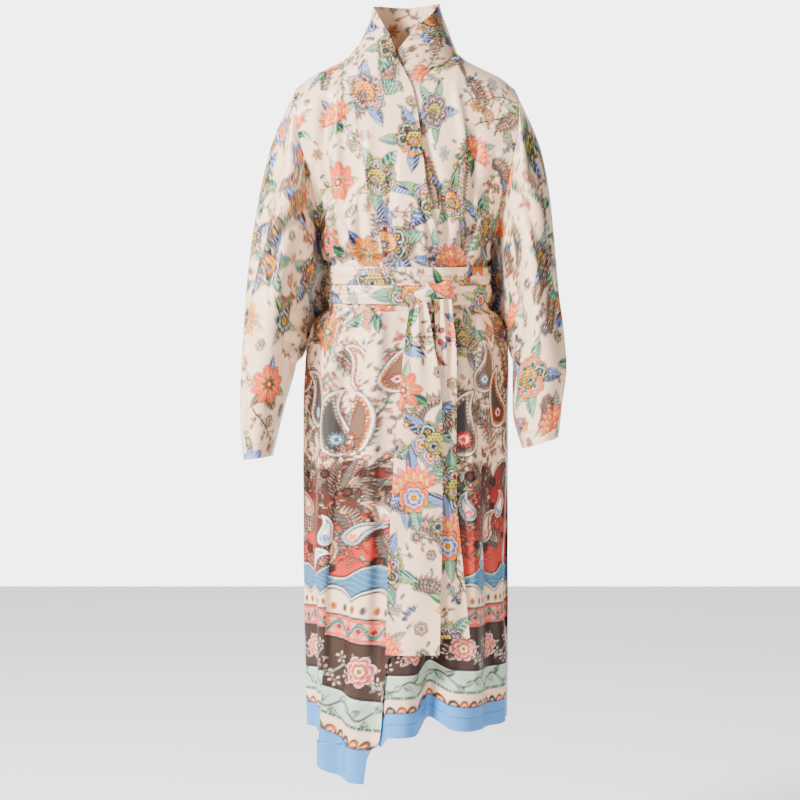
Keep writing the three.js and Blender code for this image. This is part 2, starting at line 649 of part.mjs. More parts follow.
// A solid from rings of points, closed with a flat cap at each end.
function solidTube(name, rings) {
  const around = rings[0].length;
  const positions = rings.flat().flatMap((point) => point.toArray());
  const faces = [];
  for (let i = 0; i < rings.length - 1; i += 1) {
    for (let j = 0; j < around; j += 1) {
      const a = i * around + j;
      const b = i * around + ((j + 1) % around);
      faces.push(a, b, b + around, a, b + around, a + around);
    }
  }
  const foot = (rings.length - 1) * around;
  for (let j = 1; j < around - 1; j += 1) {
    faces.push(0, j + 1, j, foot, foot + j, foot + j + 1);
  }
  const corner = (k) => new THREE.Vector3().fromArray(positions, 3 * k);
  let volume = 0;
  for (let f = 0; f < faces.length; f += 3) {
    volume += corner(faces[f]).dot(corner(faces[f + 1]).cross(corner(faces[f + 2])));
  }
  if (volume < 0) faces.reverse();
  const geometry = new THREE.BufferGeometry();
  geometry.setAttribute("position", new THREE.Float32BufferAttribute(positions, 3));
  geometry.setIndex(faces);
  geometry.computeVertexNormals();
  const mesh = new THREE.Mesh(
    geometry,
    new THREE.MeshStandardMaterial({ color: GROUND, roughness: 0.45, metalness: 0 }),
  );
  mesh.name = name;
  return mesh;
}

// A hanging end of the sash, in front of every crest of the skirt.
function sashEnd(name, table) {
  const top = table[0].level;
  const place = (i, j) => {
    const row = table[i];
    const share = j / END_COLUMNS;
    const x = mix(row.left, row.right, share);
    const pleat = END_PLEAT.depth * (1 - smooth((row.level - top) / END_PLEAT.fade)) * Math.cos(4 * Math.PI * share);
    return new THREE.Vector3(x, -row.front * Math.sqrt(1 - (x / END_RADIUS) ** 2) - pleat, -row.level);
  };
  return wall(name, place, table.length, END_COLUMNS + 1, CLOTH, GROUND);
}

const yukata = new THREE.Group();
yukata.add(
  back(),
  frontOver(),
  frontUnder(),
  neckband(),
  sleeve("sleeve_right", RIGHT_SLEEVE, true),
  sleeve("sleeve_left", LEFT_SLEEVE, false),
  ...SASH.map(winding),
  knot(),
  sashEnd("sash_end_right", RIGHT_END),
  sashEnd("sash_end_left", LEFT_END),
);

export default yukata;
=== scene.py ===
"""A worn wrap-front yukata robe: fine cloth sheets on the solids' form, with folds and a painted print.
Lengths in the tables are millimetres, as in the solids; Blender's are metres."""

import math

import bpy
import numpy as np
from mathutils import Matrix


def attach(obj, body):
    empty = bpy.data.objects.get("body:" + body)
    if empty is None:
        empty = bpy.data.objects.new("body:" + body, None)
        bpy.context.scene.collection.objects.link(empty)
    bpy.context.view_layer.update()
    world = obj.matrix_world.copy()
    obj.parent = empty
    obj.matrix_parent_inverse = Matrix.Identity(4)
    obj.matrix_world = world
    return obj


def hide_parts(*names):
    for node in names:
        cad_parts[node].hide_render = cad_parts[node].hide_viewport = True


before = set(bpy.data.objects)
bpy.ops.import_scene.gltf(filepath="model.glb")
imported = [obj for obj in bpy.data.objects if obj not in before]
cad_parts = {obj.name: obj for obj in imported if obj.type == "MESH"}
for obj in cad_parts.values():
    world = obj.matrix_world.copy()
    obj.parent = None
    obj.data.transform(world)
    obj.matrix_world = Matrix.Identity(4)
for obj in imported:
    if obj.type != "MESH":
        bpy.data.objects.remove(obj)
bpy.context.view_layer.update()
RNG = np.random.default_rng(2817)
draw = RNG.uniform

# Cloth and clearances, as in the solids
CLOTH = 2.0
LAYER_RISE = 5.0
ARMHOLE_LEVEL = 303.0
HEM_LEVEL = 1120.0
DOME_LEVEL = 75.0
NECK_HALF, NECK_DROP, NAPE_RISE, NAPE_WIDTH = 92.0, 40.0, 45.0, 80.0
WAIST_LEVEL = 380.0
# Degrees round the body: from a front's seam to the band's edge, and what of the front lies under the band
BAND_GAP = {True: 0.1625, False: -0.125}
TUCK = 1.4

# Body sections: level, left, right, front, back
BODY = np.array([
    (0, -200, 200, 82, 82), (75, -190, 192, 84, 83), (140, -176, 184, 100, 92), (220, -158, 172, 110, 94),
    (275, -147, 158, 113, 94), (303, -143, 150, 114, 95), (325, -141, 145, 111, 95),
    (334, -138, 146, 107, 93), (343, -130, 141, 96, 86), (380, -128, 141, 94, 84),
    (419, -130, 142, 95, 86), (432, -146, 157, 104, 98), (460, -159, 168, 110, 107),
    (510, -167, 173, 115, 118), (600, -169, 172, 120, 126), (820, -166, 169, 124, 124),
    (1120, -159, 166, 128, 120), (1230, -158, 165, 129, 119)], float)
# Shoulder line: x, z
SHOULDER = np.array([(0, 14), (84, 14), (106, 0), (132, -13), (160, -27), (184, -46), (210, -70)], float)
# Armhole: level, left, right, bow
ARMHOLE = np.array([
    (0, -182, 184, 62), (40, -189, 191, 64), (90, -184, 190, 68), (150, -171, 182, 66),
    (210, -158, 172, 54), (260, -149, 161, 34), (303, -143, 150, 0)], float)
# Fronts: level, seam x, edge x
OVER_FRONT = np.array([
    (0, -92, -40), (20, -98, -22), (62, -92, 10), (116, -80, 22), (218, -63, 34), (350, -36, 56),
    (412, -46, 57), (575, -82, 54), (677, -102, 48), (830, -122, 26), (983, -132, -22), (1120, -139, -44),
    (1162, -145, -61), (1200, -148, -66)], float)
UNDER_FRONT = np.array([
    (0, 88, 30), (14, 78, 0), (36, 44, -38), (76, 14, -64), (165, -12, -84), (350, -24, -98),
    (600, -30, -112), (1120, -36, -122)], float)
# Collar's free edge: share, x, y, z
COLLAR = np.array([
    (0.0, -38, -47, 58), (0.14, -49, -16, 84), (0.32, -50, 28, 100), (0.5, 3, 64, 104),
    (0.68, 55, 30, 104), (0.86, 56, -10, 96), (1.0, 46, -38, 76)], float)
# Throat rows: level, x, y, z
THROAT_OVER = np.array([
    (2.5, -33, -58, 48), (9, -27, -68, 37), (20, -21, -78, 19), (38, -10, -88, -12)], float)
THROAT_UNDER = np.array([(2.5, 35, -52, 64), (9, 23, -63, 51), (20, 3, -72, 27), (38, -24, -79, -9)], float)
BAND_BOW, BAND_LEAN, EDGE_LIFT = 6.0, 20.0, 1.0
# Levels where the band leaves the fronts for the neck, and where that curve starts
BAND_LEAVES, BAND_LEADS = 66.0, 100.0
# The parts of the band's rows
IN_AIR, ON_UNDER = 2, 3
# Folds: from, to, half width, start, end, top; those of the skirt run to the hem, the others to the sash
SKIRT_FOLDS = [
    (298, 284, 10, 0, -34, 440), (280, 266, 12, 2, 13, 420), (314, 304, 17, 3, 13, 420),
    (333, 328, 9, -3, -8, 415), (348, 346, 10, 3, 8, 415), (266, 251, 8, -4, -7, 415),
    (256, 238, 8, 4, 7, 412), (243, 225, 8, -5, -10, 414), (228, 213, 9, 4, 9, 414),
    (211, 199, 8, -4, -9, 414), (196, 186, 8, 3, 8, 414), (174, 173, 8, -4, -10, 414),
    (160, 158, 9, 4, 12, 414), (144, 142, 9, -4, -12, 414), (129, 127, 9, 5, 11, 414),
    (113, 112, 9, -5, -13, 414), (98, 96, 10, 4, 13, 414), (82, 80, 9, -4, -11, 414),
    (66, 65, 9, 4, 12, 414), (51, 49, 9, -5, -12, 414), (35, 33, 9, 4, 11, 414),
    (18, 17, 9, -4, -10, 414), (3, 2, 8, 3, 8, 414)]
BODICE_FOLDS = [
    (224, 236, 8, 3, 7, 120), (214, 223, 7, -3, -7, 120), (205, 209, 8, 2, 6, 170),
    (318, 306, 8, -2, -7, 150), (330, 320, 8, 2, 6, 150), (338, 336, 8, -2, -5, 190),
    (122, 118, 12, 1, 6, 160), (90, 90, 14, -1, -6, 120), (58, 62, 12, 1, 6, 160)]
BODICE_FOOT = 345.0
FOLD_FADE = 30.0
# Hem lift: angle, lift
HEM_LIFT = np.array([
    (0, 10), (90, 6), (180, -3), (248, -5), (254, -24), (260, -7), (274, -6), (285, 22), (297, 3),
    (310, 0), (335, 2), (360, 10)], float)
# The over front's band below the hem: its length at the free corner, and its share at the seam
FLAP_LONG, FLAP_SHORT = 80.0, 0.53
# Sleeves: outer x, outer z, inner x, inner z, centre, deep
RIGHT_SLEEVE = np.array([
    (-222, -128, -148, -342, -2, 92), (-242, -205, -161, -386, -8, 98), (-257, -290, -168, -432, -14, 98),
    (-266, -370, -174, -480, -22, 95), (-271, -450, -184, -524, -30, 92),
    (-276, -530, -198, -572, -36, 88), (-276, -605, -210, -620, -40, 86),
    (-270, -674, -222, -668, -42, 86)], float)
LEFT_SLEEVE = np.array([
    (224, -130, 162, -338, -2, 92), (242, -205, 170, -380, -8, 98), (251, -285, 174, -428, -14, 98),
    (257, -365, 178, -474, -24, 95), (264, -440, 181, -512, -36, 91), (268, -515, 180, -556, -44, 88),
    (263, -575, 182, -606, -48, 86), (256, -634, 196, -655, -50, 86)], float)
# Sleeve folds: turn, half, rise, lean, top, foot
SLEEVE_FOLDS = np.array([
    (0.13, 0.07, -13, 0, 0, 4.5), (0.25, 0.08, 6, 0, 0.5, 5.5), (0.37, 0.07, -9, 0, 1, 6),
    (0.14, 0.09, 5, 0, 5, 9), (0.65, 0.12, 0, 57, 0.2, 5.0), (0.83, 0.08, -11, 0, 0, 6),
    (0.74, 0.06, 5, 0, 2, 8)], float)
# Sash
SASH_SAG = np.array([(0, -4), (90, 0), (180, -2), (235, 3), (285, 6), (330, 1), (360, -4)], float)
SASH_CLEAR = 1.0
KNOT = {"x": 50.0, "width": 72.0, "height": 29.0, "depth": 16.0, "level": 389.0, "off": 12.3}
# Sash ends: level, left, right, front
RIGHT_END = np.array([
    (413.4, 9, 34, 113), (440, 4, 40, 121), (490, -2, 48, 130), (545, -7, 57, 136), (620, -14, 61, 140),
    (700, -20, 61, 143), (790, -25, 60, 146), (900, -30, 58, 148), (990, -32, 56, 150)], float)
LEFT_END = np.array([
    (408.6, 48, 76, 113), (440, 49, 79, 116), (490, 51, 84, 123), (560, 52, 85, 128), (650, 54, 84, 131),
    (740, 52, 85, 134), (810, 50, 91, 136), (890, 49, 99, 138), (965, 48, 106, 140)], float)
END_RADIUS = 210.0


def smooth(t):
    t = np.clip(t, 0, 1)
    return t * t * (3 - 2 * t)


def mix(a, b, t):
    a = np.asarray(a)
    return a + (np.asarray(b) - a) * t


def read(table, at, column):
    """A column of a table along its first column, on a smooth curve that doesn't overshoot."""
    x, y = table[:, 0], table[:, column]
    slope = np.diff(y) / np.diff(x)
    tangent = np.zeros(len(x))
    tangent[0], tangent[-1] = slope[0], slope[-1]
    before, after = slope[:-1], slope[1:]
    total = np.where(before + after == 0, 1, before + after)
    tangent[1:-1] = np.where(before * after <= 0, 0, 2 * before * after / total)
    at = np.clip(np.asarray(at, float), x[0], x[-1])
    i = np.clip(np.searchsorted(x, at, side="right") - 1, 0, len(x) - 2)
    span = x[i + 1] - x[i]
    t = (at - x[i]) / span
    m, n, a, b = tangent[i] * span, tangent[i + 1] * span, y[i], y[i + 1]
    return a + t * (m + t * (3 * (b - a) - 2 * m - n + t * (m + n - 2 * (b - a))))


def dome(level):
    """How full the body's section is: it closes towards the shoulder line."""
    return np.sqrt(1 - (1 - np.minimum(level / DOME_LEVEL, 1)) ** 2)


def fold_rise(turn, level):
    """How far the large folds lift the cloth."""
    rise = np.zeros(np.broadcast(turn, level).shape)
    rows = [row + (HEM_LEVEL,) for row in SKIRT_FOLDS] + [row + (BODICE_FOOT,) for row in BODICE_FOLDS]
    for start_at, end_at, half, start, end, top, foot in rows:
        along = (level - top) / (foot - top)
        centre = mix(start_at, end_at, np.clip(along, 0, 1))
        away = np.abs((turn - centre + 540) % 360 - 180) / half
        fade = smooth((level - top) / FOLD_FADE)
        if foot < HEM_LEVEL:
            fade = fade * smooth((foot - level) / FOLD_FADE + 0.1)
        bump = mix(start, end, smooth(along)) * fade * np.exp(-away * away * 1.6)
        rise += np.where((along > 0) & (away < 2), bump, 0)
    return rise


def body_point(angle, level, off=0.0):
    """The body's cloth as in the solids: angle 0 left side, 90 back, 180 right side, 270 front."""
    angle, level, off = np.broadcast_arrays(np.asarray(angle, float), level, off)
    turn = angle % 360
    front = turn > 180
    right = (turn > 90) & (turn < 270)
    lo, hi = read(BODY, level, 1), read(BODY, level, 2)
    middle = (lo + hi) / 2
    depth = np.where(front, read(BODY, level, 3), read(BODY, level, 4)) * dome(level) + 0.15
    share = 1 - np.abs(np.where(front, 270, 90) - turn) / 90
    open_ = level < ARMHOLE_LEVEL
    flat = np.where(open_, 1 - smooth((level - 200) / (ARMHOLE_LEVEL - 200)), 0)
    arm = np.where(right, read(ARMHOLE, level, 1), read(ARMHOLE, level, 2))
    reach = np.where(open_, arm, np.where(right, lo, hi))
    bow = np.where(open_, read(ARMHOLE, level, 3) * dome(level) + 0.15, 0)
    x = middle + (reach - middle) * mix(np.cos(np.radians(share * 90)), 1 - share, flat)
    y = bow + (depth - bow) * np.sin(np.radians(share * 90))
    top = 1 - np.clip(level / ARMHOLE_LEVEL, 0, 1)
    nape = np.where(front, 0, NAPE_RISE * np.exp(-((x / NAPE_WIDTH) ** 2)) * (1 - np.exp(-level / 15)))
    lift = read(HEM_LIFT, turn, 1) * np.clip((level - 420) / (HEM_LEVEL - 420), 0, 1) ** 2
    z = -level + lift + read(SHOULDER, np.abs(x), 1) * top ** 1.5 + nape * top ** 2
    y = np.where(front, -y, y)
    ox, oy = (x - middle) / (reach * reach), y / np.maximum(depth, 8) ** 2
    size = np.hypot(ox, oy) + 1e-12
    push = (fold_rise(turn, level) + off * dome(level + 4)) / size
    return np.stack([x + ox * push, y + oy * push, z], -1)


def angle_at(x, level, front=True):
    """The body's angle at an x, found by halving."""
    x, level = np.broadcast_arrays(np.asarray(x, float), np.asarray(level, float))
    low = np.full(x.shape, 180.0 if front else 0.0)
    high = np.full(x.shape, 360.0 if front else 180.0)
    for _ in range(26):
        half = (low + high) / 2
        further = (body_point(half, level)[..., 0] < x) == front
        low, high = np.where(further, half, low), np.where(further, high, half)
    return (low + high) / 2


def over_rise(angle):
    """What lifts the over front off the front beneath."""
    return LAYER_RISE * smooth((angle - 181) / 20) * (1 - smooth((angle - 292) / 16))


# Grids of points, rows down the cloth and columns across it

def neck_drop(x):
    return NECK_DROP * np.maximum(0, 1 - (x / NECK_HALF) ** 2)


def spaced(low, high, step):
    return np.linspace(low, high, max(2, int(round(abs(high - low) / step)) + 1))


def back_grid(rows, columns):
    angle = np.linspace(0, 180, columns)[None, :]
    row = rows[:, None]
    drop = neck_drop(body_point(angle, 0.0)[..., 0])
    level = np.where(row < ARMHOLE_LEVEL, mix(drop, ARMHOLE_LEVEL, row / ARMHOLE_LEVEL), row)
    return body_point(angle, level), np.broadcast_to(angle, level.shape), level


def front_grid(over, rows, columns):
    """A front from its side seam to the band, with its edge sunk and tucked under the band."""
    side, tuck, table = (180.0, TUCK, OVER_FRONT) if over else (360.0, -TUCK, UNDER_FRONT)
    share = np.linspace(0, 1, columns)[None, :]
    angle = mix(side, angle_at(read(table, rows, 1), rows)[:, None] + tuck, share)
    level = np.broadcast_to(rows[:, None], angle.shape)
    sunk = 0.8 * (smooth((share - 0.94) / 0.04) if over else smooth((share - 0.96) / 0.03))
    return body_point(angle, level, (over_rise(angle) if over else 0.0) - sunk), angle, level


def band_on_front(over, level, share, off=0.0):
    """The neckband where it lies on a front, from its seam (share 0) to its free edge (share 1)."""
    table = OVER_FRONT if over else UNDER_FRONT
    level, share = np.broadcast_arrays(np.asarray(level, float), share)
    seam = angle_at(read(table, level, 1), level) + BAND_GAP[over]
    angle = mix(seam, angle_at(read(table, level, 2), level), share)
    rise = over_rise(np.minimum(angle, 290)) + 0.2 if over else 0.0
    return body_point(angle, level, rise + off)


def in_air(seam, edge, share):
    """The neckband where it stands off the body, bowed outwards from its seam to its free edge."""
    lean = (seam + edge) / 2
    lean[2] = BAND_LEAN
    lean /= np.linalg.norm(lean)
    return mix(seam, edge, share[:, None]) + lean * BAND_BOW * np.sin(np.pi * share)[:, None]


def throat_seam(over, level):
    d = float(dome(level))
    point = band_on_front(over, level, 0.0, EDGE_LIFT * d)
    return point + np.array([0, 0, EDGE_LIFT * math.sqrt(1 - d * d)])


def neckline_point(share):
    """The collar's seam round the nape, a little below the back panel's edge so that the two overlap."""
    x = -NECK_HALF * math.cos(math.pi * share)
    level = float(neck_drop(x))
    return body_point(angle_at(x, level, False), level, 0.8) - np.array([0, 0, 2.5])


def curve(points, count):
    """A smooth curve of count points through rows of values."""
    points = np.asarray(points, float)
    n = len(points)
    place = np.linspace(0, n - 1, count)
    i = np.clip(place.astype(int), 0, n - 2)
    t = (place - i).reshape((-1,) + (1,) * (points.ndim - 1))
    a, b = points[np.maximum(i - 1, 0)], points[i]
    c, d = points[i + 1], points[np.minimum(i + 2, n - 1)]
    return b + 0.5 * t * (c - a + t * (2 * a - 5 * b + 4 * c - d + t * (3 * (b - c) + d - a)))


def droop(share):
    """How much longer the flap below the hem is towards its free corner."""
    return mix(FLAP_SHORT, 1, np.sin(share * np.pi / 2))


def band_grid(step, columns):
    """The neckband from the over front's drooping corner round the neck and down: its points, the share
    across it and the part that each row belongs to."""
    share = np.linspace(0, 1, columns)
    flap = HEM_LEVEL + spaced(FLAP_LONG, 4, step)[:, None] * droop(share)
    over, under = spaced(HEM_LEVEL, BAND_LEAVES, step), spaced(BAND_LEAVES, HEM_LEVEL, step * 2.4)
    air = [band_on_front(True, level, share) for level in (BAND_LEADS, BAND_LEAVES)]
    air += [in_air(throat_seam(True, row[0]), row[1:], share) for row in THROAT_OVER[::-1]]
    air += [in_air(neckline_point(mix(0.04, 0.96, row[0])), row[1:], share) for row in COLLAR]
    air += [in_air(throat_seam(False, row[0]), row[1:], share) for row in THROAT_UNDER]
    air += [band_on_front(False, level, share) for level in (BAND_LEAVES, BAND_LEADS)]
    per = max(3, int(26 / step))
    parts = [band_on_front(True, flap, share[None, :]), band_on_front(True, over[:, None], share[None, :]),
             curve(np.array(air), (len(air) - 1) * per + 1)[per + 1:-per - 1],
             band_on_front(False, under[:, None], share[None, :])]
    belongs = np.repeat(np.arange(len(parts)), [len(part) for part in parts])
    return np.concatenate(parts), share, belongs


def armhole_point(right, turn):
    level = ARMHOLE_LEVEL * (1 - np.cos(2 * np.pi * turn)) / 2
    side, nudge = (180.0, 0.001) if right else (0.0, -0.001)
    point = body_point(side + np.where(turn < 0.5, nudge, -nudge), level)
    point[..., 0] += (-1 if right else 1) * mix(0.5, 2.4, smooth((level - 110) / 130))
    return point


def sleeve_grid(table, right, rows, columns):
    """A sleeve from the armhole to the cuff: its points and the turn of each column round it."""
    turn = np.linspace(0, 1, columns)[None, :] % 1.0
    swing = 2 * np.pi * turn
    rings = [armhole_point(right, turn)[0]]
    for outer_x, outer_z, inner_x, inner_z, centre, deep in table:
        x = (outer_x + inner_x) / 2 + (outer_x - inner_x) / 2 * np.cos(swing[0])
        z = (outer_z + inner_z) / 2 + (outer_z - inner_z) / 2 * np.cos(swing[0])
        rings.append(np.stack([x, centre - deep * np.sin(swing[0]), z], -1))
    points = curve(np.array(rings), rows)
    row = np.linspace(0, len(table), rows)[:, None]
    rise = np.zeros((rows, columns))
    lean = np.zeros((rows, columns))
    for at, half, up, side, top, foot in SLEEVE_FOLDS:
        away = np.abs((turn - at + 1.5) % 1 - 0.5) / half
        bump = smooth((row - top) / 1.2) * smooth((foot - row) / 1.6) * np.exp(-away * away * 1.6)
        rise += up * bump
        lean += side * bump
    points[..., 0] += (-1 if right else 1) * (rise * np.cos(swing) - lean)
    points[..., 1] -= rise * np.sin(swing)
    return points, np.broadcast_to(turn, (rows, columns))


def sash_point(angle, level, off):
    sag = read(SASH_SAG, np.asarray(angle, float) % 360, 1)
    z = body_point(angle, level + sag)[..., 2]
    point = body_point(angle, np.full(np.shape(z), WAIST_LEVEL), over_rise(angle) + CLOTH + SASH_CLEAR + off)
    point[..., 2] = z
    return point


def outward(points, closed=False):
    """Unit normals of a grid, away from its rows' middles. A closed grid's end columns are one line."""
    along = np.gradient(points, axis=1)
    if closed:
        along[:, 0] = along[:, -1] = (points[:, 1] - points[:, -2]) / 2
    n = np.cross(along, np.gradient(points, axis=0))
    n /= np.linalg.norm(n, axis=-1, keepdims=True) + 1e-9
    side = np.sign(((points - points.mean(axis=1, keepdims=True)) * n)[..., :2].sum(-1))
    return n * (1 if side.mean() >= 0 else -1)


def lengths(points):
    """The distance down each line of points along the first axis."""
    step = np.linalg.norm(np.diff(points, axis=0), axis=-1)
    return np.concatenate([np.zeros_like(step[:1]), np.cumsum(step, axis=0)])


# The print: colours are sRGB from 0 to 1 until the last step
CREAM, BLUSH = (0.928, 0.846, 0.768), (0.93, 0.843, 0.765)
WHITE, YELLOW, ORANGE, OCHRE = (0.97, 0.94, 0.90), (0.93, 0.80, 0.42), (0.93, 0.56, 0.32), (0.72, 0.46, 0.27)
CORAL, PINK, ROSE, RUST = (0.89, 0.39, 0.33), (0.95, 0.66, 0.62), (0.80, 0.27, 0.36), (0.66, 0.30, 0.26)
SKY, BLUE, NAVY, STEEL = (0.56, 0.74, 0.90), (0.27, 0.46, 0.74), (0.13, 0.20, 0.40), (0.47, 0.60, 0.67)
TEAL, GREEN, MINT, SAGE = (0.10, 0.44, 0.42), (0.33, 0.57, 0.38), (0.62, 0.80, 0.66), (0.76, 0.82, 0.76)
BROWN, TAUPE, SMOKE, INK = (0.42, 0.34, 0.30), (0.60, 0.51, 0.45), (0.45, 0.43, 0.42), (0.20, 0.18, 0.20)
HEM_BLUE = (0.49, 0.675, 0.835)
BRICK, PLAIT_GROUND = (0.84, 0.40, 0.35), (0.84, 0.75, 0.69)
BLOSSOMS = [
    [(BLUE, SKY, YELLOW), (ROSE, PINK, WHITE), (YELLOW, ORANGE, CREAM)],
    [(TEAL, MINT, YELLOW), (NAVY, SKY, WHITE), (CORAL, PINK, WHITE)],
    [(NAVY, SKY, CREAM), (BLUE, WHITE, OCHRE), (ROSE, PINK, WHITE)],
    [(ROSE, PINK, YELLOW), (CORAL, ORANGE, CREAM), (TEAL, MINT, WHITE)],
    [(NAVY, STEEL, YELLOW), (TEAL, SAGE, WHITE), (YELLOW, ORANGE, NAVY)],
]
DARK_BLOSSOMS = [[(RUST, PINK, BROWN), (BROWN, CORAL, INK), (CREAM, YELLOW, RUST)],
                 [(TEAL, STEEL, INK), (SMOKE, SAGE, BROWN), (CORAL, PINK, RUST)],
                 [(BROWN, ROSE, INK), (TAUPE, PINK, BROWN), (WHITE, CREAM, RUST)]]
DAISIES = [(OCHRE, ORANGE, YELLOW, GREEN), (PINK, CORAL, YELLOW, ROSE), (SKY, BLUE, WHITE, YELLOW),
           (OCHRE, YELLOW, WHITE, CORAL)]
LEAVES = [(TEAL, GREEN), (GREEN, MINT), (NAVY, BLUE), (SMOKE, TAUPE), (GREEN, YELLOW)]


UP = 1.57  # a quarter turn: the way up the cloth


def lane(at, width, shift=0.0):
    """The distance from the middle of the nearest of equal lanes."""
    return ((at / width + shift) % 1 - 0.5) * width


class Print:
    """The print on one piece: places across and up it in millimetres, and a colour at each."""

    def __init__(self, across, up, grain, ground=CREAM):
        self.s, self.t, self.grain = across.ravel(), up.ravel(), grain
        self.rgb = np.empty((self.s.size, 3))
        self.rgb[:] = ground
        self.order = np.argsort(self.t)
        self.sorted = self.t[self.order]

    def near(self, x, y, reach, turn=0.0):
        """The places within reach of x, y, and where they lie on axes turned about it."""
        low, high = np.searchsorted(self.sorted, (y - reach, y + reach))
        some = self.order[low:high]
        some = some[np.abs(self.s[some] - x) < reach]
        dx, dy = self.s[some] - x, self.t[some] - y
        c, s = math.cos(turn), math.sin(turn)
        return some, c * dx + s * dy, c * dy - s * dx

    def dab(self, some, away, colour, strength=1.0):
        """Lays a colour, or a colour at each place, inside a shape: away is the distance outside its edge."""
        cover = (np.clip(0.5 - away / self.grain, 0, 1) * strength)[:, None]
        self.rgb[some] += (np.asarray(colour) - self.rgb[some]) * cover

    def field(self, away, colour, strength=1.0):
        self.dab(slice(None), away, colour, strength)

    def rims(self, away, *steps):
        """Bands inside one edge, each step with how far in it starts and its colour."""
        for inset, colour in steps:
            self.field(away + inset, colour)

    def disc(self, x, y, radius, colour, rim=None):
        some, u, v = self.near(x, y, radius + 2)
        away = np.hypot(u, v) - radius
        if rim is not None:
            self.dab(some, away, rim)
        self.dab(some, away + (1.4 if rim is not None else 0), colour)

    def blossom(self, x, y, radius, turn, petals, layers):
        some, u, v = self.near(x, y, radius * 1.15)
        r, angle = np.hypot(u, v), np.arctan2(v, u) + turn
        for k, (inner, outer, rim) in enumerate(layers):
            size = radius * (1.0, 0.70, 0.42)[k]
            count = petals - k
            edge = size * (0.74 + 0.26 * np.abs(np.cos(count * angle / 2 + k)) ** 0.6)
            away = r - edge
            self.dab(some, away, INK if k == 0 else BROWN, 0.75)
            self.dab(some, away + 1.3, rim)
            share = np.clip(r / edge, 0, 1)[:, None]
            self.dab(some, away + 3.0, mix(inner, outer, share ** 2))
            vein = np.abs(np.sin(count * angle * 1.5 + k)) * r * 0.35
            self.dab(some, np.maximum(vein - 0.5, away + 3.6), inner, 0.55)
        self.disc(x, y, radius * 0.13, YELLOW, INK)

    def daisy(self, x, y, radius, turn, petals, tones):
        some, u, v = self.near(x, y, radius * 1.05)
        r = np.hypot(u, v)
        sector = 2 * np.pi / petals
        angle = (np.arctan2(v, u) + turn) % sector - sector / 2
        side = np.abs(angle) * r
        along = np.clip((r - radius * 0.2) / (radius * 0.8), 0, 1)
        width = radius * 0.27 * np.sin(np.pi * along ** 1.3) ** 0.7
        away = np.maximum(side - width, np.abs(r - radius * 0.6) - radius * 0.4)
        self.dab(some, away, BROWN, 0.8)
        self.dab(some, away + 1.2, tones[2])
        self.dab(some, away + 2.2, mix(tones[0], tones[1], along[:, None]))
        self.dab(some, np.maximum(side - 0.8, away + 4), tones[2], 0.8)
        self.dab(some, np.maximum(np.abs(side - width * 0.45) - 0.5, away + 3), tones[3], 0.6)
        self.disc(x, y, radius * 0.2, tones[3], BROWN)
        self.disc(x, y, radius * 0.1, tones[2])

    def fan(self, x, y, radius, turn, tones):
        """A carnation seen from the side, with toothed rows of petals."""
        some, u, v = self.near(x, y, radius * 1.1, turn)
        r, angle = np.hypot(u, v), np.arctan2(u, v)
        sector = (np.abs(angle) - 1.35) * r
        for k, low in enumerate((1.0, 0.78, 0.56, 0.36)):
            teeth = np.abs((angle * (9 - k) / np.pi + 0.5 * k) % 1 - 0.5) * 2
            away = np.maximum(r - radius * low * (0.72 + 0.28 * teeth ** 0.7), sector)
            self.dab(some, away, tones[3], 0.9)
            share = np.clip(r / (radius * low), 0, 1)[:, None]
            first, second = (tones[0], tones[1]) if k % 2 == 0 else (tones[1], tones[2])
            self.dab(some, away + 1.2, mix(first, second, share))
            line = np.abs((angle * (9 - k) / np.pi * 2) % 1 - 0.5) * r / 3
            self.dab(some, np.maximum(line - 0.35, away + 2), tones[3], 0.5)
        self.leaf(x, y, radius * 0.5, radius * 0.16, turn - 1.1, (TEAL, GREEN))
        self.leaf(x, y, radius * 0.5, radius * 0.16, turn - 2.0, (GREEN, MINT))

    def leaf(self, x, y, length, width, turn, tones, comb=0.0):
        """A leaf with two tones, and with white stripes comb apart if that is given."""
        some, u, v = self.near(x, y, length * 1.02, turn)
        along = np.clip(u / length, 0, 1)
        half = width * np.sin(np.pi * along ** 0.85)
        away = np.maximum(np.abs(v) - half, -u)
        self.dab(some, away, INK, 0.55)
        self.dab(some, away + 1.0, np.where((v > 0)[:, None], tones[0], tones[1]))
        if comb:
            stripe = np.abs(lane(u - np.abs(v) * 1.3, comb)) - comb * 0.2
            self.dab(some, np.maximum(stripe, away + 1.2), WHITE, 0.85)
        self.dab(some, np.maximum(np.abs(v) - 0.5, away + 1.5), CREAM, 0.8)

    def stem(self, points, width, colour):
        for (ax, ay), (bx, by) in zip(points[:-1], points[1:]):
            reach = math.hypot(bx - ax, by - ay) / 2 + width + 1
            some, u, v = self.near((ax + bx) / 2, (ay + by) / 2, reach)
            ex, ey = (bx - ax) / 2, (by - ay) / 2
            share = np.clip((u * ex + v * ey) / (ex * ex + ey * ey + 1e-6), -1, 1)
            self.dab(some, np.hypot(u - share * ex, v - share * ey) - width / 2, colour)

    def sprig(self, x, y, length, turn, leaf_tones, bud, bend=0.5):
        points = []
        for k in range(7):
            if k:
                x, y = beside(x, y, length / 6, turn + bend * (k / 6 - 0.3))
            points.append((x, y))
        self.stem(points, 1.3, BROWN)
        for k in range(1, 6):
            px, py = points[k]
            side = 1 if k % 2 else -1
            a = turn + bend * (k / 6 - 0.3) + side * 0.9
            self.leaf(px, py, length * 0.27, length * 0.055 + 0.8, a, leaf_tones)
            if k > 1:
                reach = length * 0.13
                self.disc(px - side * reach * math.sin(a), py + side * reach * math.cos(a), 1.8, bud)
        self.disc(x, y, length * 0.07 + 1, bud, BROWN)

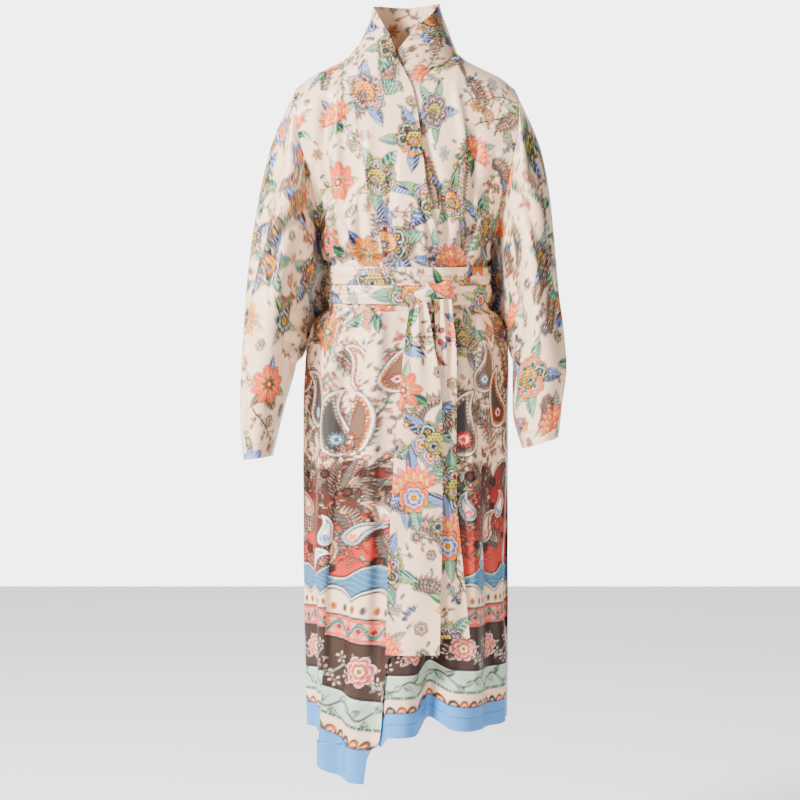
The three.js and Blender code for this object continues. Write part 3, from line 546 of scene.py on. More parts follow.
    def paisley(self, x, y, size, turn, flip, outline, band, field, core):
        c, s = math.cos(turn), math.sin(turn)
        some = self.near(x - size * 0.25 * s, y + size * 0.25 * c, size * 1.15)[0]
        dx, dy = self.s[some] - x, self.t[some] - y
        u, v = c * dx + s * dy, c * dy - s * dx
        away = np.full(u.shape, 1e9)
        for f in np.linspace(0, 1, 15):
            px = flip * size * (0.42 * f * f - 0.10 * math.sin(3.2 * f))
            py = size * (0.95 * math.sin(1.45 * f))
            away = np.minimum(away, np.hypot(u - px, v - py) - size * 0.36 * (1 - f) ** 0.75)
        wave = size * 0.018 * np.cos(26 * np.arctan2(v - size * 0.15, u))
        self.dab(some, away - wave, outline, 0.9)
        self.dab(some, away + size * 0.035, WHITE)
        self.dab(some, away + size * 0.075, band)
        dots = np.hypot(lane(u, size * 0.075), lane(v, size * 0.075)) - size * 0.018
        self.dab(some, np.maximum(dots, away + size * 0.09), WHITE, 0.9)
        self.dab(some, away + size * 0.145, outline, 0.9)
        self.dab(some, away + size * 0.165, field)
        petal = np.abs(np.sin(6 * np.arctan2(v, u))) * 0.5 + 0.5
        r = np.hypot(u, v)
        self.dab(some, r - size * 0.165 * petal, core)
        self.dab(some, r - size * 0.10 * petal, WHITE)
        self.dab(some, r - size * 0.05, core)


def scatter(low, high, gap, tries, taken):
    """Random places x, y at least gap apart and clear of those taken, which grow by them."""
    out = []
    for _ in range(tries):
        x, y = draw(low[0], high[0]), draw(low[1], high[1])
        if all(math.hypot(x - px, y - py) > gap + reach for px, py, reach in taken):
            taken.append((x, y, gap))
            out.append((x, y))
    return out


def beside(x, y, reach, way):
    """The place at a reach from x, y in one direction."""
    return x + reach * math.cos(way), y + reach * math.sin(way)


def any_way():
    return draw(0, 6.28)


def pick(items):
    return items[int(RNG.integers(len(items)))]


def branch(cloth, x, y, length, turn, tone):
    """A long wandering twig with side twigs, small leaves and berries."""
    points = [(x, y)]
    for k in range(9):
        turn += draw(-0.45, 0.45)
        x, y = beside(x, y, length / 9, turn)
        points.append((x, y))
        hand = 1 if k % 2 else -1
        side = turn + 0.9 * hand
        end = beside(x, y, 15, side)
        cloth.stem([(x, y), end], 0.9, tone)
        cloth.leaf(*end, 11, 2.8, side, (TAUPE, SMOKE))
        cloth.leaf(x, y, 12, 3, turn - 0.7 * hand, pick([(SMOKE, TAUPE), (GREEN, SAGE)]))
        cloth.disc(end[0] + 3, end[1] + 3, 1.9, pick([CORAL, ROSE, BROWN]))
    cloth.stem(points, 2.0, tone)


def plume(cloth, x, y, length, turn, bend):
    """A curved feather of small leaves in rows: grey-brown outside, coral and green within."""
    for k in range(12):
        f = k / 11
        a = turn + bend * f
        x, y = beside(x, y, length / 11, a)
        size = 5 + 13 * math.sin(math.pi * (0.15 + 0.8 * f))
        for side in (-1, 1):
            cloth.leaf(x, y, size * 1.15, 3.4, a + side * 1.15, (SMOKE, TAUPE))
            cloth.leaf(x, y, size * 0.72, 2.6, a + side * 0.75, (CORAL, PINK) if k % 2 else (TEAL, MINT))
        cloth.disc(x, y, 1.6, pick([ROSE, YELLOW, BROWN]))


def grand(cloth, x, y, size):
    """A large bloom of scalloped lobes round a dotted heart, on striped leaves."""
    turn = any_way()
    for k in range(5):
        a = turn + k * 1.26 + draw(-0.2, 0.2)
        cloth.leaf(*beside(x, y, size * 0.4, a), size * 1.35, size * 0.30, a,
                   (NAVY, BLUE) if k % 2 else (TEAL, GREEN), 4.4)
    first, other = pick(BLOSSOMS), pick(BLOSSOMS)
    for k in range(6):
        a = turn + 0.5 + k * 1.05
        cloth.blossom(*beside(x, y, size * 0.55, a), size * 0.46, a, 5, first if k % 3 else other)
    cloth.disc(x, y, size * 0.46, YELLOW, NAVY)
    some, u, v = cloth.near(x, y, size * 0.44)
    row = v / 5.2
    dots = np.hypot((u / 6 + 0.5 * (np.floor(row) % 2)) % 1 - 0.5, row % 1 - 0.5) * 5.5
    cloth.dab(some, np.maximum(dots - 1.7, np.hypot(u, v) - size * 0.4), pick([NAVY, TEAL, ROSE]))
    cloth.blossom(x - size * 0.1, y - size * 0.12, size * 0.26, turn, 5, other)


def flowers(cloth, low, high, lively=1.0):
    """All-over twigs, plumes, blooms, daisies, carnations, leaves and sprigs on part of a piece."""
    taken = []
    tries = int((high[0] - low[0]) * (high[1] - low[1]) / 420)
    for x, y in scatter(low, high, 52, int(tries * 0.5), []):
        branch(cloth, x, y, 120, any_way(), pick([BROWN, SMOKE, TAUPE]))
    for x, y in scatter(low, high, 46, int(tries * 0.5), []):
        plume(cloth, x, y, draw(55, 85), any_way(), draw(-2.2, 2.2))
    for x, y in scatter(low, high, 46, int(tries * lively), taken):
        kind = RNG.integers(6)
        turn = any_way()
        if kind <= 2:
            grand(cloth, x, y, draw(31, 42))
            continue
        for k in range(3):
            a = turn + k * 1.9
            cloth.leaf(*beside(x, y, 14, a), 36, 7, a, pick(LEAVES), 4.4 if k else 0)
        cloth.sprig(x, y, 58, turn - 1.2, pick(LEAVES), pick([CORAL, YELLOW, ROSE]), draw(-1.2, 1.2))
        if kind == 3:
            cloth.daisy(x, y, draw(29, 37), turn, int(RNG.integers(7, 9)), pick(DAISIES))
        elif kind == 4:
            cloth.fan(x, y - 12, draw(36, 44), draw(-0.8, 0.8), (CORAL, PINK, YELLOW, RUST))
        else:
            cloth.blossom(x, y, draw(24, 30), turn, int(RNG.integers(7, 10)), pick(BLOSSOMS))
    for x, y in scatter(low, high, 15, int(tries * 1.5), taken):
        kind = RNG.integers(5)
        if kind == 0:
            cloth.daisy(x, y, draw(10, 14), any_way(), 6, pick(DAISIES))
        elif kind <= 2:
            cloth.blossom(x, y, draw(9, 14), any_way(), 6, pick(BLOSSOMS))
        else:
            cloth.sprig(x, y, draw(26, 38), any_way(), pick(LEAVES), pick([CORAL, BLUE, YELLOW]),
                        draw(-1, 1))
    for x, y in scatter(low, high, 7.0, int(tries * 1.4), taken):
        cloth.leaf(x, y, 10, 2.6, any_way(), pick(LEAVES))
        cloth.disc(x, y, 1.9, pick([CORAL, ROSE, BLUE, BROWN]), BROWN)


def border(cloth, left, right):
    """The bands above the hem, from a ground of arches and large curled leaves down to plain blue."""
    s, t = cloth.s, cloth.t
    wob = 3.5 * np.sin(s / 23) + 2.5 * np.sin(s / 9.7 + 1)
    arch = 412 + 24 * np.abs(np.sin(np.pi * (s + 40) / 47)) ** 0.7 + 14 * np.sin(s / 37) + wob
    deep = mix(BRICK, BROWN, np.clip((t - 290) / 170 + wob / 14, 0.08, 0.9)[:, None])
    cloth.rims(t - arch, (0, SMOKE), (2.5, CREAM), (5, BROWN), (7, deep))
    for x in np.arange(left, right, 21):
        y = draw(290, 410)
        tone = pick([(BROWN, SMOKE), (RUST, BROWN), (INK, SMOKE), (CORAL, RUST)])
        cloth.sprig(x, y, 58, UP + draw(-0.5, 0.5), tone, pick([CORAL, PINK, YELLOW, STEEL]),
                    draw(-0.9, 0.9))
    for x in np.arange(left, right, 2.6):
        cloth.leaf(x, draw(268, 470), 16, 2.8, UP + draw(-1.2, 1.2),
                   pick([(RUST, CORAL), (BROWN, TAUPE), (CORAL, PINK), (BROWN, RUST), (STEEL, SMOKE)]))
    for x, y in scatter((left, 262), (right, 400), 24, int((right - left) * 0.6), []):
        branch(cloth, x, y, 95, UP + draw(-0.7, 0.7), pick([INK, BROWN, SMOKE, TEAL]))
        plume(cloth, x + 9, y, 52, UP + draw(-0.9, 0.9), draw(-1.6, 1.6))
    for x, y in scatter((left, 262), (right, 430), 17, int((right - left) * 0.8), []):
        cloth.blossom(x, y, draw(6, 9.5), 0.5, 5, pick(DARK_BLOSSOMS))
    for x, y in scatter((left, 262), (right, 440), 9, int((right - left) * 0.9), []):
        cloth.disc(x, y, draw(1.6, 3.0), pick([PINK, CORAL, CREAM, OCHRE, STEEL]), BROWN)

    # The blue edge, with paisleys standing on it
    sea = t - 266 - 10 * np.sin(2 * np.pi * s / 88)
    cloth.rims(sea, (0, INK), (2, WHITE), (4, STEEL))
    cloth.field(np.maximum(np.abs(lane(t + 6 * np.sin(s / 11), 7.5)) - 0.7, sea + 6), SKY, 0.8)
    for k, x in enumerate(np.arange(left + 12, right, 31)):
        cloth.paisley(x, (280, 325, 362)[k % 3] + draw(-8, 8), draw(34, 44), draw(-0.9, 0.6),
                      1 if k % 2 else -1, INK, pick([CORAL, OCHRE, STEEL, WHITE]), pick([WHITE, CREAM]),
                      pick([CORAL, ROSE, BLUE]))

    # Scallops with drops, over a plait
    cloth.rims(t - 226 - 15 * np.abs(np.sin(np.pi * s / 56)), (-4, INK), (-2, WHITE), (1, INK), (3, CREAM))
    tone = np.where((np.floor(s / 14 + 0.25) % 2 == 0)[:, None], OCHRE, SMOKE)
    cloth.field(np.hypot(lane(s, 14, 0.25), (t - 214) * 0.62) - 3.2, tone)
    cloth.rims(t - 204, (0, INK), (2, PLAIT_GROUND))
    for sign, tone in ((1, CORAL), (-1, TEAL)):
        strand = np.abs(t - 187 - sign * 8 * np.sin(2 * np.pi * s / 34))
        cloth.field(strand - 2.6, tone)
        cloth.field(strand - 0.7, WHITE, 0.7)
    cloth.field(np.abs(lane(s, 17)) + np.abs(t - 187) - 4.5, RUST)
    for line in (199, 175.5):
        cloth.field(np.abs(t - line) - 1.4, CORAL)

    # Roses and small daisies on brown
    cloth.rims(t - 172, (0, INK), (2, BROWN))
    for k, x in enumerate(np.arange(left, right, 39)):
        if k % 2:
            cloth.stem([(x - 22, 112), (x - 8, 122), (x + 6, 136), (x + 20, 140)], 1.8, SAGE)
            for dx, dy, tone in ((-16, 122, SKY), (4, 146, SKY), (16, 124, PINK), (-4, 112, STEEL)):
                cloth.daisy(x + dx, dy, 9.5, dx, 5, (tone, WHITE, WHITE, CORAL))
        else:
            for a in (0.3, 1.2, 2.0, 2.9, -0.6, 3.8):
                cloth.leaf(x, 132, 31, 5, a, (SAGE, TAUPE))
            tones = [(ROSE, PINK, WHITE), (CORAL, PINK, WHITE), (WHITE, PINK, YELLOW)]
            cloth.blossom(x, 136, 22, 0.3 * k, 7, tones)

    # A leafy wave on pale green, dashes, half rounds and the plain hem
    cloth.rims(t - 102, (0, INK), (2.5, WHITE), (4, SAGE))
    cloth.field(np.abs(t - 81 - 8 * np.sin(2 * np.pi * s / 58)) - 1.5, SMOKE)
    for k, x in enumerate(np.arange(left, right, 14.5)):
        y = 81 + 8 * math.sin(2 * math.pi * x / 58)
        cloth.leaf(x, y, 17, 4.4, 0.7 if k % 2 else -0.7, (SMOKE, TEAL), 3.4)
    cloth.field(t - 66, SAGE)
    cloth.field(np.maximum(np.abs(lane(s, 5)) - 1.4, np.abs(t - 64) - 1.5), INK)
    cloth.field(t - 61, BLUSH)
    rounds = np.hypot(lane(s, 17), (t - 40) * 0.78)
    which = (np.floor(s / 17) % 3).astype(int)
    for size, tone in ((8.0, INK), (6.6, np.array([OCHRE, SMOKE, ORANGE])[which]), (3.6, WHITE), (2.2, RUST)):
        cloth.field(rounds - size, tone)
    cloth.field(t - 41, INK, 0.6)
    cloth.field(t - 39.5, HEM_BLUE)


def skirt_ground(cloth, left, right):
    """Large curled leaves above the arches, with rows of small leaves between them."""
    for x in np.arange(left, right, 34):
        plume(cloth, x + 10, draw(420, 560), draw(80, 120), UP + draw(-0.5, 0.5),
              draw(-1.0, 1.0))
        branch(cloth, x, draw(420, 600), 110, UP + draw(-0.6, 0.6), SMOKE)
    for x, y in scatter((left, 400), (right, 700), 8, int((right - left) * 3), []):
        cloth.leaf(x, y, 12, 2.8, draw(0.6, 2.6),
                   pick([(SMOKE, TAUPE), (BROWN, SMOKE), (CORAL, PINK), (TEAL, MINT)]))
    for k, x in enumerate(np.arange(left + 20, right, 46)):
        cloth.paisley(x, (480, 580, 525)[k % 3], (84, 66, 76)[k % 3], draw(-0.4, 0.4), 1 if k % 2 else -1,
                      SMOKE, pick([TAUPE, OCHRE]), pick([BLUSH, SMOKE, TAUPE]), pick([CORAL, STEEL, RUST]))


# Creases, in the front view: rise, half width and the line they follow in X and Z
FRONT_CREASES = [
    (-3.2, 13, [(-132, -95), (-138, -180), (-118, -260), (-96, -335)]),
    (2.6, 12, [(-112, -90), (-112, -190), (-92, -300), (-88, -340)]),
    (-2.6, 10, [(36, -150), (62, -230), (72, -300), (66, -340)]),
    (2.4, 11, [(84, -60), (98, -150), (96, -240), (84, -336)]),
    (-3.0, 12, [(118, -150), (112, -240), (104, -338)]),
    (2.4, 12, [(-60, -150), (-64, -240), (-58, -330)]),
    (-2.4, 10, [(-20, -190), (-28, -270), (-24, -336)]),
    (-2.2, 8, [(150, -190), (128, -250), (100, -312)]),
    (-1.8, 7, [(132, -252), (112, -296), (88, -336)]),
    (-2.0, 7, [(-134, -226), (-120, -280), (-104, -334)]),
    (-1.8, 7, [(-152, -200), (-142, -262), (-130, -330)]),
    (-1.6, 7, [(-76, -236), (-74, -290), (-68, -336)]),
    (-1.6, 7, [(28, -250), (40, -300), (44, -338)]),
    (2.6, 14, [(-40, -440), (-52, -600), (-60, -800), (-64, -1000)]),
    (-2.8, 15, [(-96, -450), (-104, -620), (-118, -820), (-124, -1040)]),
    (2.6, 13, [(-124, -520), (-136, -700), (-142, -900)]),
    (-2.6, 13, [(112, -440), (126, -600), (140, -800), (150, -1010)]),
    (2.6, 14, [(94, -450), (104, -620), (112, -840), (116, -1080)]),
    (2.0, 16, [(-12, -700), (-24, -860), (-30, -1100)]),
    (-2.0, 16, [(150, -640), (164, -800), (168, -960)]),
]
BACK_CREASES = [
    (-3.0, 14, [(-110, -120), (-96, -230), (-72, -338)]),
    (2.6, 13, [(-70, -150), (-62, -240), (-52, -336)]),
    (-2.6, 13, [(10, -170), (4, -260), (2, -338)]),
    (2.6, 13, [(70, -140), (66, -240), (54, -336)]),
    (-3.0, 14, [(118, -110), (100, -230), (82, -338)]),
    (2.6, 15, [(-60, -440), (-74, -640), (-84, -960)]),
    (-2.6, 15, [(-20, -450), (-26, -660), (-30, -1000)]),
    (2.6, 15, [(34, -450), (38, -620), (44, -900)]),
    (-2.8, 15, [(84, -440), (100, -640), (112, -980)]),
    (2.4, 15, [(124, -500), (140, -700), (150, -1000)]),
    (-2.4, 14, [(-112, -500), (-128, -700), (-136, -980)]),
]
# Sleeve creases: rise, half width and place as shares of the way round, top and foot as shares of the length
SLEEVE_CREASES = [
    (3.4, 0.030, 0.18, 0.10, 0.62), (-3.4, 0.028, 0.26, 0.06, 0.50), (3.0, 0.026, 0.36, 0.30, 0.80),
    (-3.0, 0.028, 0.08, 0.35, 0.90), (2.8, 0.026, 0.62, 0.10, 0.55), (-3.0, 0.030, 0.74, 0.25, 0.85),
    (2.8, 0.026, 0.88, 0.20, 0.70), (-2.6, 0.024, 0.44, 0.45, 0.95), (2.4, 0.022, 0.16, 0.60, 0.98)]
# Factors on the body creases' troughs, crests and half widths, and on the sleeves' outer and inner creases
TROUGH_DEEPER, CREST_HIGHER, NARROWER = 3.3, 2.2, 0.72
OUTER_DEEPER, INNER_DEEPER = 2.3, 0.9
# Wrinkles inside the elbow: where they begin and end, as shares of the length, their rise and their length
ELBOW_FROM, ELBOW_TO, WRINKLE_RISE, WRINKLE = 0.42, 0.66, 3.0, 7.5


def crease(points, table):
    """How far each point moves out for the creases near it."""
    x, z = points[..., 0], points[..., 2]
    rise = np.zeros(x.shape)
    for height, half, places in table:
        line = curve(np.array(places, float), 4 * len(places))
        at = np.interp(-z, -line[:, 1], line[:, 0])
        top, foot = -line[0, 1], -line[-1, 1]
        fade = smooth((-z - top + 45) / 60) * smooth((foot + 40 + z) / 90)
        away = (x - at) / (half * NARROWER)
        depth = height * (TROUGH_DEEPER if height < 0 else CREST_HIGHER)
        rise += depth * fade * np.exp(-away * away)
    return rise


# Levels: where the gathers begin, where the sash takes them up and lets them go, and where they fade
GATHERS_FROM, SASH_TAKES, SASH_LETS, GATHERS_FADE = 255.0, 352.0, 408.0, 425.0
# Levels between which the sash keeps the cloth flat, and how sharply it does
FLAT_FROM, FLAT_TO, SHARPLY = 338.0, 422.0, 8.0


def gathers(angle, level):
    """The small pleats above and below the sash."""
    above = smooth((level - GATHERS_FROM) / 75) * smooth((SASH_TAKES - level) / SHARPLY)
    below = smooth((level - SASH_LETS) / SHARPLY) * (1 - smooth((level - GATHERS_FADE) / 150))
    wave = np.sin(np.radians(angle * 22)) * 0.6 + np.sin(np.radians(angle * 37 + 40 + level * 0.1)) * 0.4
    slow = 0.6 + 0.4 * np.sin(np.radians(angle * 5 + 60))
    return (5.0 * wave - 2.0) * slow * (0.9 * above + below)


def clear_of_sash(level):
    """Nearly nothing under the sash's windings, and one away from them."""
    return 1 - smooth((level - FLAT_FROM) / SHARPLY) * smooth((FLAT_TO - level) / SHARPLY)


def ripple(points, angle, level, front):
    """Creases, gathers and a soft unevenness, along the cloth's normals."""
    x, z = points[..., 0], points[..., 2]
    rise = crease(points, FRONT_CREASES if front else BACK_CREASES) + gathers(angle, level)
    rise += 0.5 * np.sin(x / 19 + z / 53) * np.sin(z / 31 - x / 47)
    side = np.abs((angle + 90) % 180 - 90) * BODY_ROUND / 360
    keep = smooth((level - 30) / 60) * clear_of_sash(level)
    keep *= mix(1.0, smooth(side / 22), smooth((ARMHOLE_LEVEL + 20 - level) / 20))
    return points + outward(points) * (rise * keep)[..., None]


# The power that deepens the printed colours
INK_DEPTH = 1.8


def cloth_material(name, roughness):
    """Satin-like cotton whose colour comes from the painted print."""
    material = bpy.data.materials.new(name)
    material.use_nodes = True
    tree = material.node_tree
    shader = tree.nodes["Principled BSDF"]
    for key, value in (("Base Color", (0.80, 0.71, 0.62, 1)), ("Roughness", roughness),
                       ("Sheen Weight", 0.02), ("Sheen Roughness", 0.4), ("Specular IOR Level", 0.25)):
        shader.inputs[key].default_value = value
    colour = tree.nodes.new("ShaderNodeAttribute")
    colour.attribute_name = "print"
    tree.links.new(colour.outputs["Color"], shader.inputs["Base Color"])
    return material


CLOTHS = {part + "_cloth": cloth_material("printed_satin_" + part, roughness)
          for part, roughness in (("body", 0.36), ("band", 0.38), ("sleeve", 0.36), ("sash", 0.34))}


def make(name, points, rgb, node, slot):
    """A smooth sheet from a grid of points in millimetres, with its colours, in a node's place."""
    rows, columns = points.shape[:2]
    mesh = bpy.data.meshes.new(name)
    index = np.arange(rows * columns).reshape(rows, columns)
    faces = np.stack([index[:-1, :-1], index[1:, :-1], index[1:, 1:], index[:-1, 1:]], -1).reshape(-1, 4)
    mesh.vertices.add(rows * columns)
    mesh.vertices.foreach_set("co", (points.reshape(-1) / 1000).astype(np.float32))
    mesh.loops.add(faces.size)
    mesh.loops.foreach_set("vertex_index", faces.reshape(-1).astype(np.int32))
    mesh.polygons.add(len(faces))
    mesh.polygons.foreach_set("loop_start", np.arange(0, faces.size, 4, dtype=np.int32))
    mesh.polygons.foreach_set("use_smooth", np.ones(len(faces), bool))
    mesh.update(calc_edges=True)
    mesh.validate()
    linear = np.where(rgb <= 0.04045, rgb / 12.92, ((np.clip(rgb, 0, 1) + 0.055) / 1.055) ** 2.4) ** INK_DEPTH
    layer = mesh.color_attributes.new("print", "FLOAT_COLOR", "POINT")
    rgba = np.column_stack([linear, np.ones(len(linear))])
    layer.data.foreach_set("color", rgba.astype(np.float32).reshape(-1))
    mesh.materials.append(CLOTHS[slot])
    piece = bpy.data.objects.new(name, mesh)
    bpy.context.scene.collection.objects.link(piece)
    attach(piece, "root")
    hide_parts(node)
    return piece


# Sizes of the cloth that the print lies on, and where each piece lies on the print
BODY_ROUND, SLEEVE_ROUND, BAND_WIDE, SASH_ROUND = 1020.0, 400.0, 95.0, 860.0
BAND_PLACE, KNOT_PLACE, TAIL_PLACES = 1200.0, 4000.0, (5000.0, 5500.0)
# Lowest flowers above the hem; below this level the flap's borders stretch with it; the hem's stitching
FLOWERS_FROM, STRETCH_LEVEL, HEM_STITCH = 630.0, 850.0, 22.0
# Distance between a sheet's points, in front and at the back, and how many lie across the other pieces
GRAIN, COARSE = ((2.0, 3.4))
ACROSS_BAND, ROUND_WAIST, ROUND_TIE, ACROSS_TAIL = ((48, 430, 70, 48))
# Widths of the panels, length and girth of the sleeves, from which their counts of points come
BACK_WIDE, OVER_WIDE, UNDER_WIDE = 640.0, 150.0, 270.0
SLEEVE_LONG, SLEEVE_GIRTH = 499.0, 311.0


def stitching_and_seam_shade(rgb, away, tone=0.90, half=1.2):
    """Darkens a thin line: stitching, and on the neckband a painted shade line along its seam's crease."""
    line = np.clip(1 - np.abs(away) / half, 0, 1).ravel()[:, None]
    return rgb * (1 - line * (1 - tone))


def paint_body(across, up, grain):
    cloth = Print(across, up, grain)
    left, right = across.min() - 20, across.max() + 20
    flowers(cloth, (left, FLOWERS_FROM), (right, up.max() + 20))
    skirt_ground(cloth, left, right)
    border(cloth, left, right)
    return cloth.rgb


def paint_band(across, up, top):
    cloth = Print(across, up, GRAIN)
    flowers(cloth, (BAND_PLACE - 10, FLOWERS_FROM), (BAND_PLACE + 110, top + 20), 1.3)
    skirt_ground(cloth, BAND_PLACE - 20, BAND_PLACE + 130)
    border(cloth, BAND_PLACE - 20, BAND_PLACE + 120)
    return cloth.rgb


def panel(name, node, grid, grain, front, stitch):
    """A body panel with creases and print, and a stitched hem if stitch is given."""
    points, angle, level = grid
    rgb = paint_body(angle / 360 * BODY_ROUND, HEM_LEVEL - level, grain)
    if stitch:
        rgb = stitching_and_seam_shade(rgb, level - HEM_LEVEL + HEM_STITCH)
    return make(name, ripple(points, angle, level, front), rgb, node, "body_cloth")


def panels():
    grid = back_grid(spaced(0, HEM_LEVEL, COARSE), int(BACK_WIDE / COARSE))
    back = panel("robe_back", "back", grid, COARSE, False, True)

    rows = spaced(0, HEM_LEVEL, GRAIN)
    grid = front_grid(True, rows, int(OVER_WIDE / GRAIN))
    over = panel("robe_front_over", "front_right_over", grid, GRAIN, True, False)

    grid = front_grid(False, rows, int(UNDER_WIDE / GRAIN))
    under = panel("robe_front_under", "front_left_under", grid, GRAIN, True, True)


def band():
    points, share, part = band_grid(GRAIN, ACROSS_BAND)
    on_front, under = (part != IN_AIR)[:, None], (part == ON_UNDER)[:, None]
    level = np.where(on_front, -points[..., 2], 0)
    rise = (crease(points, FRONT_CREASES) + gathers(270 + points[..., 0] * 0.42, level)) * on_front
    rise *= smooth((level - 60) / 60) * clear_of_sash(level)
    points = points + outward(points) * rise[..., None]

    low = HEM_LEVEL + FLAP_LONG * droop(share)
    stretched = (low - level) * (HEM_LEVEL - STRETCH_LEVEL) / (low - STRETCH_LEVEL)
    up = np.where(~under & (level > STRETCH_LEVEL), stretched, HEM_LEVEL - level)
    length = lengths(points[:, len(share) // 2])
    air = length - length[np.flatnonzero(part == IN_AIR)[0]] + HEM_LEVEL - 60
    up = np.where(under, -up, np.where(on_front, up, air[:, None]))
    across = np.broadcast_to(share * BAND_WIDE + BAND_PLACE, up.shape)
    upward, downward = paint_band(across, up, up.max()), paint_band(across, -up, HEM_LEVEL)
    rgb = np.where(np.broadcast_to(under, up.shape).ravel()[:, None], downward, upward)
    # A painted shade line along the band's seam, where the cloth creases
    rgb = stitching_and_seam_shade(rgb, np.broadcast_to((share - 0.012) * BAND_WIDE, up.shape), 0.8)
    piece = make("robe_neckband", points, rgb, "neckband", "band_cloth")


def sleeve(name, node, table, right):
    rows, columns = int(SLEEVE_LONG / GRAIN), int(SLEEVE_GIRTH / GRAIN)
    points, turn = sleeve_grid(table, right, rows, columns)
    down = lengths(points[:, columns // 4])[:, None] + 0 * turn
    share = down / down.max()
    rise = np.zeros(turn.shape)
    for height, half, at, top, foot in SLEEVE_CREASES:
        shift = at + 0.06 * np.sin(5 * share + at * 9) + (0.03 if right else 0)
        away = ((turn - shift + 0.5) % 1 - 0.5) / half
        fade = smooth((share - top + 0.06) / 0.14) * smooth((foot + 0.06 - share) / 0.16)
        deeper = OUTER_DEEPER if abs(at - 0.5) > 0.2 else INNER_DEEPER
        rise += height * deeper * fade * np.exp(-1.5 * away * away)
    elbow = smooth((share - ELBOW_FROM) / 0.06) * smooth((ELBOW_TO - share) / 0.08)
    elbow = elbow * np.exp(-((turn - 0.5) / 0.2) ** 2)
    rise += WRINKLE_RISE * elbow * np.sin(down / WRINKLE + 9 * turn)
    points = points + outward(points, True) * (rise * smooth(share / 0.06))[..., None]
    tucked = points[:1] * np.array([0.95, 0.97, 1.0]) - np.array([0, 0, 1.5])
    points = np.concatenate([tucked, points])

    arc = lengths(points.swapaxes(0, 1)).T
    across = arc - arc[:, columns // 4, None] + SLEEVE_ROUND / 2
    up = lengths(points[::-1])[::-1]
    cloth = Print(across, up, GRAIN)
    flowers(cloth, (across.min(), -10), (across.max(), up.max() + 10), 1.1)
    piece = make(name, points, stitching_and_seam_shade(cloth.rgb, up - 24), node, "sleeve_cloth")


# Name, node, top, foot and puff of each winding; name, node, table and large bloom's x and z of each end
WINDINGS = [("sash_winding_upper", "sash_upper_winding", 350.0, 380.5, 2.2),
            ("sash_winding_lower", "sash_lower_winding", 381.5, 412.0, 2.6)]
TAILS = [("sash_tail_right", "sash_end_right", RIGHT_END, 14, -720),
         ("sash_tail_left", "sash_end_left", LEFT_END, 70, -800)]
# How far the sash stands off, and the level of the soft fold across its right end
SASH_OFF, TAIL_FOLD = 1.6, 829.0


def winding(name, node, top, foot, puff, k):
    angle, share = np.meshgrid(np.linspace(0, 360, ROUND_WAIST), np.linspace(0, 1, 15))
    level = mix(top, foot, share)
    pleat = 0.8 * np.sin(share * 19 + np.sin(np.radians(angle * 3 + 50 * k)) * 2.2)
    points = sash_point(angle, level, SASH_OFF + (puff + pleat) * np.sin(np.pi * share))
    place = 2000 * k
    cloth = Print(angle / 360 * SASH_ROUND + place, -level, GRAIN, BLUSH)
    flowers(cloth, (place - 20, -foot - 20), (place + SASH_ROUND + 20, -top + 20), 0.7)
    return make(name, points, stitching_and_seam_shade(cloth.rgb, (share - 0.5) * 30, 0.93, 2.5), node, "sash_cloth")


def tie():
    count, level = ROUND_TIE, KNOT["level"]
    along = np.linspace(-1, 1, count)[:, None]
    swing = np.radians(np.linspace(0, 360, count))[None, :]
    fold = np.sqrt(np.maximum(1.02 - along ** 2, 0)) * (1 - 0.25 * np.cos(2 * np.pi * along))
    fold[[0, -1]] = 0
    fold = fold * (1 + 0.07 * np.cos(5 * swing + 5 * along))
    spine = [sash_point(float(angle_at(KNOT["x"] + a * KNOT["width"] / 2, level)), level, KNOT["off"])
             for a in along[:, 0]]
    points = np.repeat(np.array(spine)[:, None, :], count, axis=1)
    points[..., 1] += fold * KNOT["depth"] * np.sin(swing) / 2.6 + 3 * along ** 2
    points[..., 2] += fold * KNOT["height"] * np.cos(swing) / 2 + 6 * along
    cloth = Print(points[..., 0] + KNOT_PLACE, points[..., 2], 1.6, BLUSH)
    flowers(cloth, (KNOT_PLACE, -420), (KNOT_PLACE + 110, -370), 0.6)
    return make("sash_tie", points, cloth.rgb, "sash_knot", "sash_cloth")


def tail(name, node, table, bloom_x, bloom_z, k):
    rows = spaced(table[0, 0], table[-1, 0], GRAIN)
    share, level = np.meshgrid(np.linspace(0, 1, ACROSS_TAIL), rows)
    x = mix(read(table, level, 1), read(table, level, 2), share)
    fallen = level - table[0, 0]
    pleat = 4 * (1 - smooth(fallen / 200)) * np.cos(4 * np.pi * share)
    crimp = 1.4 * np.sin(share * 9 + level / 95) * smooth(fallen / 60)
    across_fold = 0 if k else 1.6 * np.exp(-((level - TAIL_FOLD) / 6) ** 2)
    y = -read(table, level, 3) * np.sqrt(1 - (x / END_RADIUS) ** 2) - pleat - crimp - across_fold
    place = TAIL_PLACES[k]
    cloth = Print(x + place, -level, GRAIN, BLUSH)
    flowers(cloth, (place - 50, -level.max() - 10), (place + 120, -level.min()), 0.8)
    bloom(cloth, place + bloom_x, bloom_z)
    rgb = stitching_and_seam_shade(cloth.rgb, level - table[-1, 0] + 9)
    return make(name, np.stack([x, y, -level], -1), rgb, node, "sash_cloth")


def sash():
    upper, lower = [winding(*row, k) for k, row in enumerate(WINDINGS)]
    knot = tie()
    right = tail(*TAILS[0], 0)
    left = tail(*TAILS[1], 1)


def bloom(cloth, x, y):
    """One large bloom with long curled leaves."""
    for k in range(6):
        a = 0.6 + k * 1.05
        cloth.leaf(*beside(x, y, 16, a), 58, 10, a, (NAVY, BLUE) if k % 2 else (TEAL, GREEN), 5)
    cloth.fan(x, y - 8, 50, 0.2, (CORAL, PINK, YELLOW, RUST))
    tones = [(CORAL, ORANGE, YELLOW), (BLUE, SKY, WHITE), (YELLOW, CORAL, WHITE)]
    cloth.blossom(x, y - 14, 26, 0.4, 8, tones)


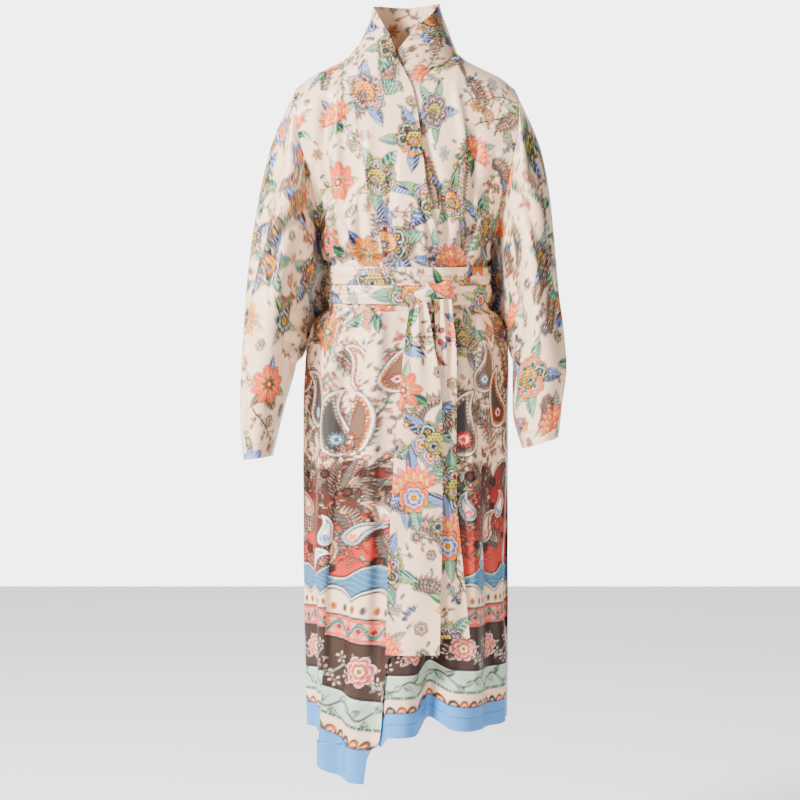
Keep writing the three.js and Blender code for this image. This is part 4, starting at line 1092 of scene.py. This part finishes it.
panels()
band()
sleeve("robe_sleeve_right", "sleeve_right", RIGHT_SLEEVE, True)
sleeve("robe_sleeve_left", "sleeve_left", LEFT_SLEEVE, False)
sash()


# Camera, lights and floor; the studio is brightest straight behind the robe
MIDDLE = (0, 0, -0.55)
FLOOR_HALF, FLOOR_Z = 6.0, -1.45
WORLD_DIM, WORLD_BRIGHT = 0.19, 5.0
# Name, place, size and power
LIGHTS = [("key", (-2.4, -2.0, 1.2), 0.8, 580), ("fill", (1.6, -3.0, -0.4), 2.4, 44),
          ("rear", (0.4, 2.6, 0.8), 2.0, 14)]

scene = bpy.context.scene
camera = bpy.data.objects.new("camera", bpy.data.cameras.new("camera"))
scene.collection.objects.link(camera)
camera.location = (-0.0085, -3.4, -0.5746)
camera.rotation_euler = (math.pi / 2, 0, 0)
camera.data.sensor_width = 36
camera.data.lens = 90
scene.camera = camera

for name, place, size, power in LIGHTS:
    lamp = bpy.data.lights.new(name, "AREA")
    lamp.size = size
    lamp.energy = power
    lamp.color = (1.0, 0.985, 0.96)
    light = bpy.data.objects.new(name, lamp)
    light.location = place
    x, y, z = np.array(MIDDLE) - np.array(place)
    light.rotation_euler = (math.atan2(math.hypot(x, y), -z), 0, math.atan2(x, -y) + math.pi)
    scene.collection.objects.link(light)

world = bpy.data.worlds.new("studio")
scene.world = world
world.use_nodes = True
tree = world.node_tree
tree.nodes["Background"].inputs[0].default_value = (1, 1, 1, 1)
direction = tree.nodes.new("ShaderNodeTexCoord")
axes = tree.nodes.new("ShaderNodeSeparateXYZ")
glow = tree.nodes.new("ShaderNodeMapRange")
for key, value in (("From Min", 0.80), ("From Max", 0.95), ("To Min", WORLD_DIM), ("To Max", WORLD_BRIGHT)):
    glow.inputs[key].default_value = value
tree.links.new(direction.outputs["Generated"], axes.inputs[0])
tree.links.new(axes.outputs["Y"], glow.inputs["Value"])
tree.links.new(glow.outputs["Result"], tree.nodes["Background"].inputs[1])

corners = [(x * FLOOR_HALF, y * FLOOR_HALF, FLOOR_Z) for x, y in ((-1, -1), (1, -1), (1, 1), (-1, 1))]
floor_mesh = bpy.data.meshes.new("floor")
floor_mesh.from_pydata(corners, [], [(0, 1, 2, 3)])
plain = bpy.data.materials.new("floor")
plain.use_nodes = True
for key, value in (("Base Color", (0.92, 0.92, 0.92, 1)), ("Emission Color", (1, 1, 1, 1)),
                   ("Emission Strength", 0.9), ("Roughness", 0.7)):
    plain.node_tree.nodes["Principled BSDF"].inputs[key].default_value = value
floor_mesh.materials.append(plain)
floor = bpy.data.objects.new("floor", floor_mesh)
scene.collection.objects.link(floor)
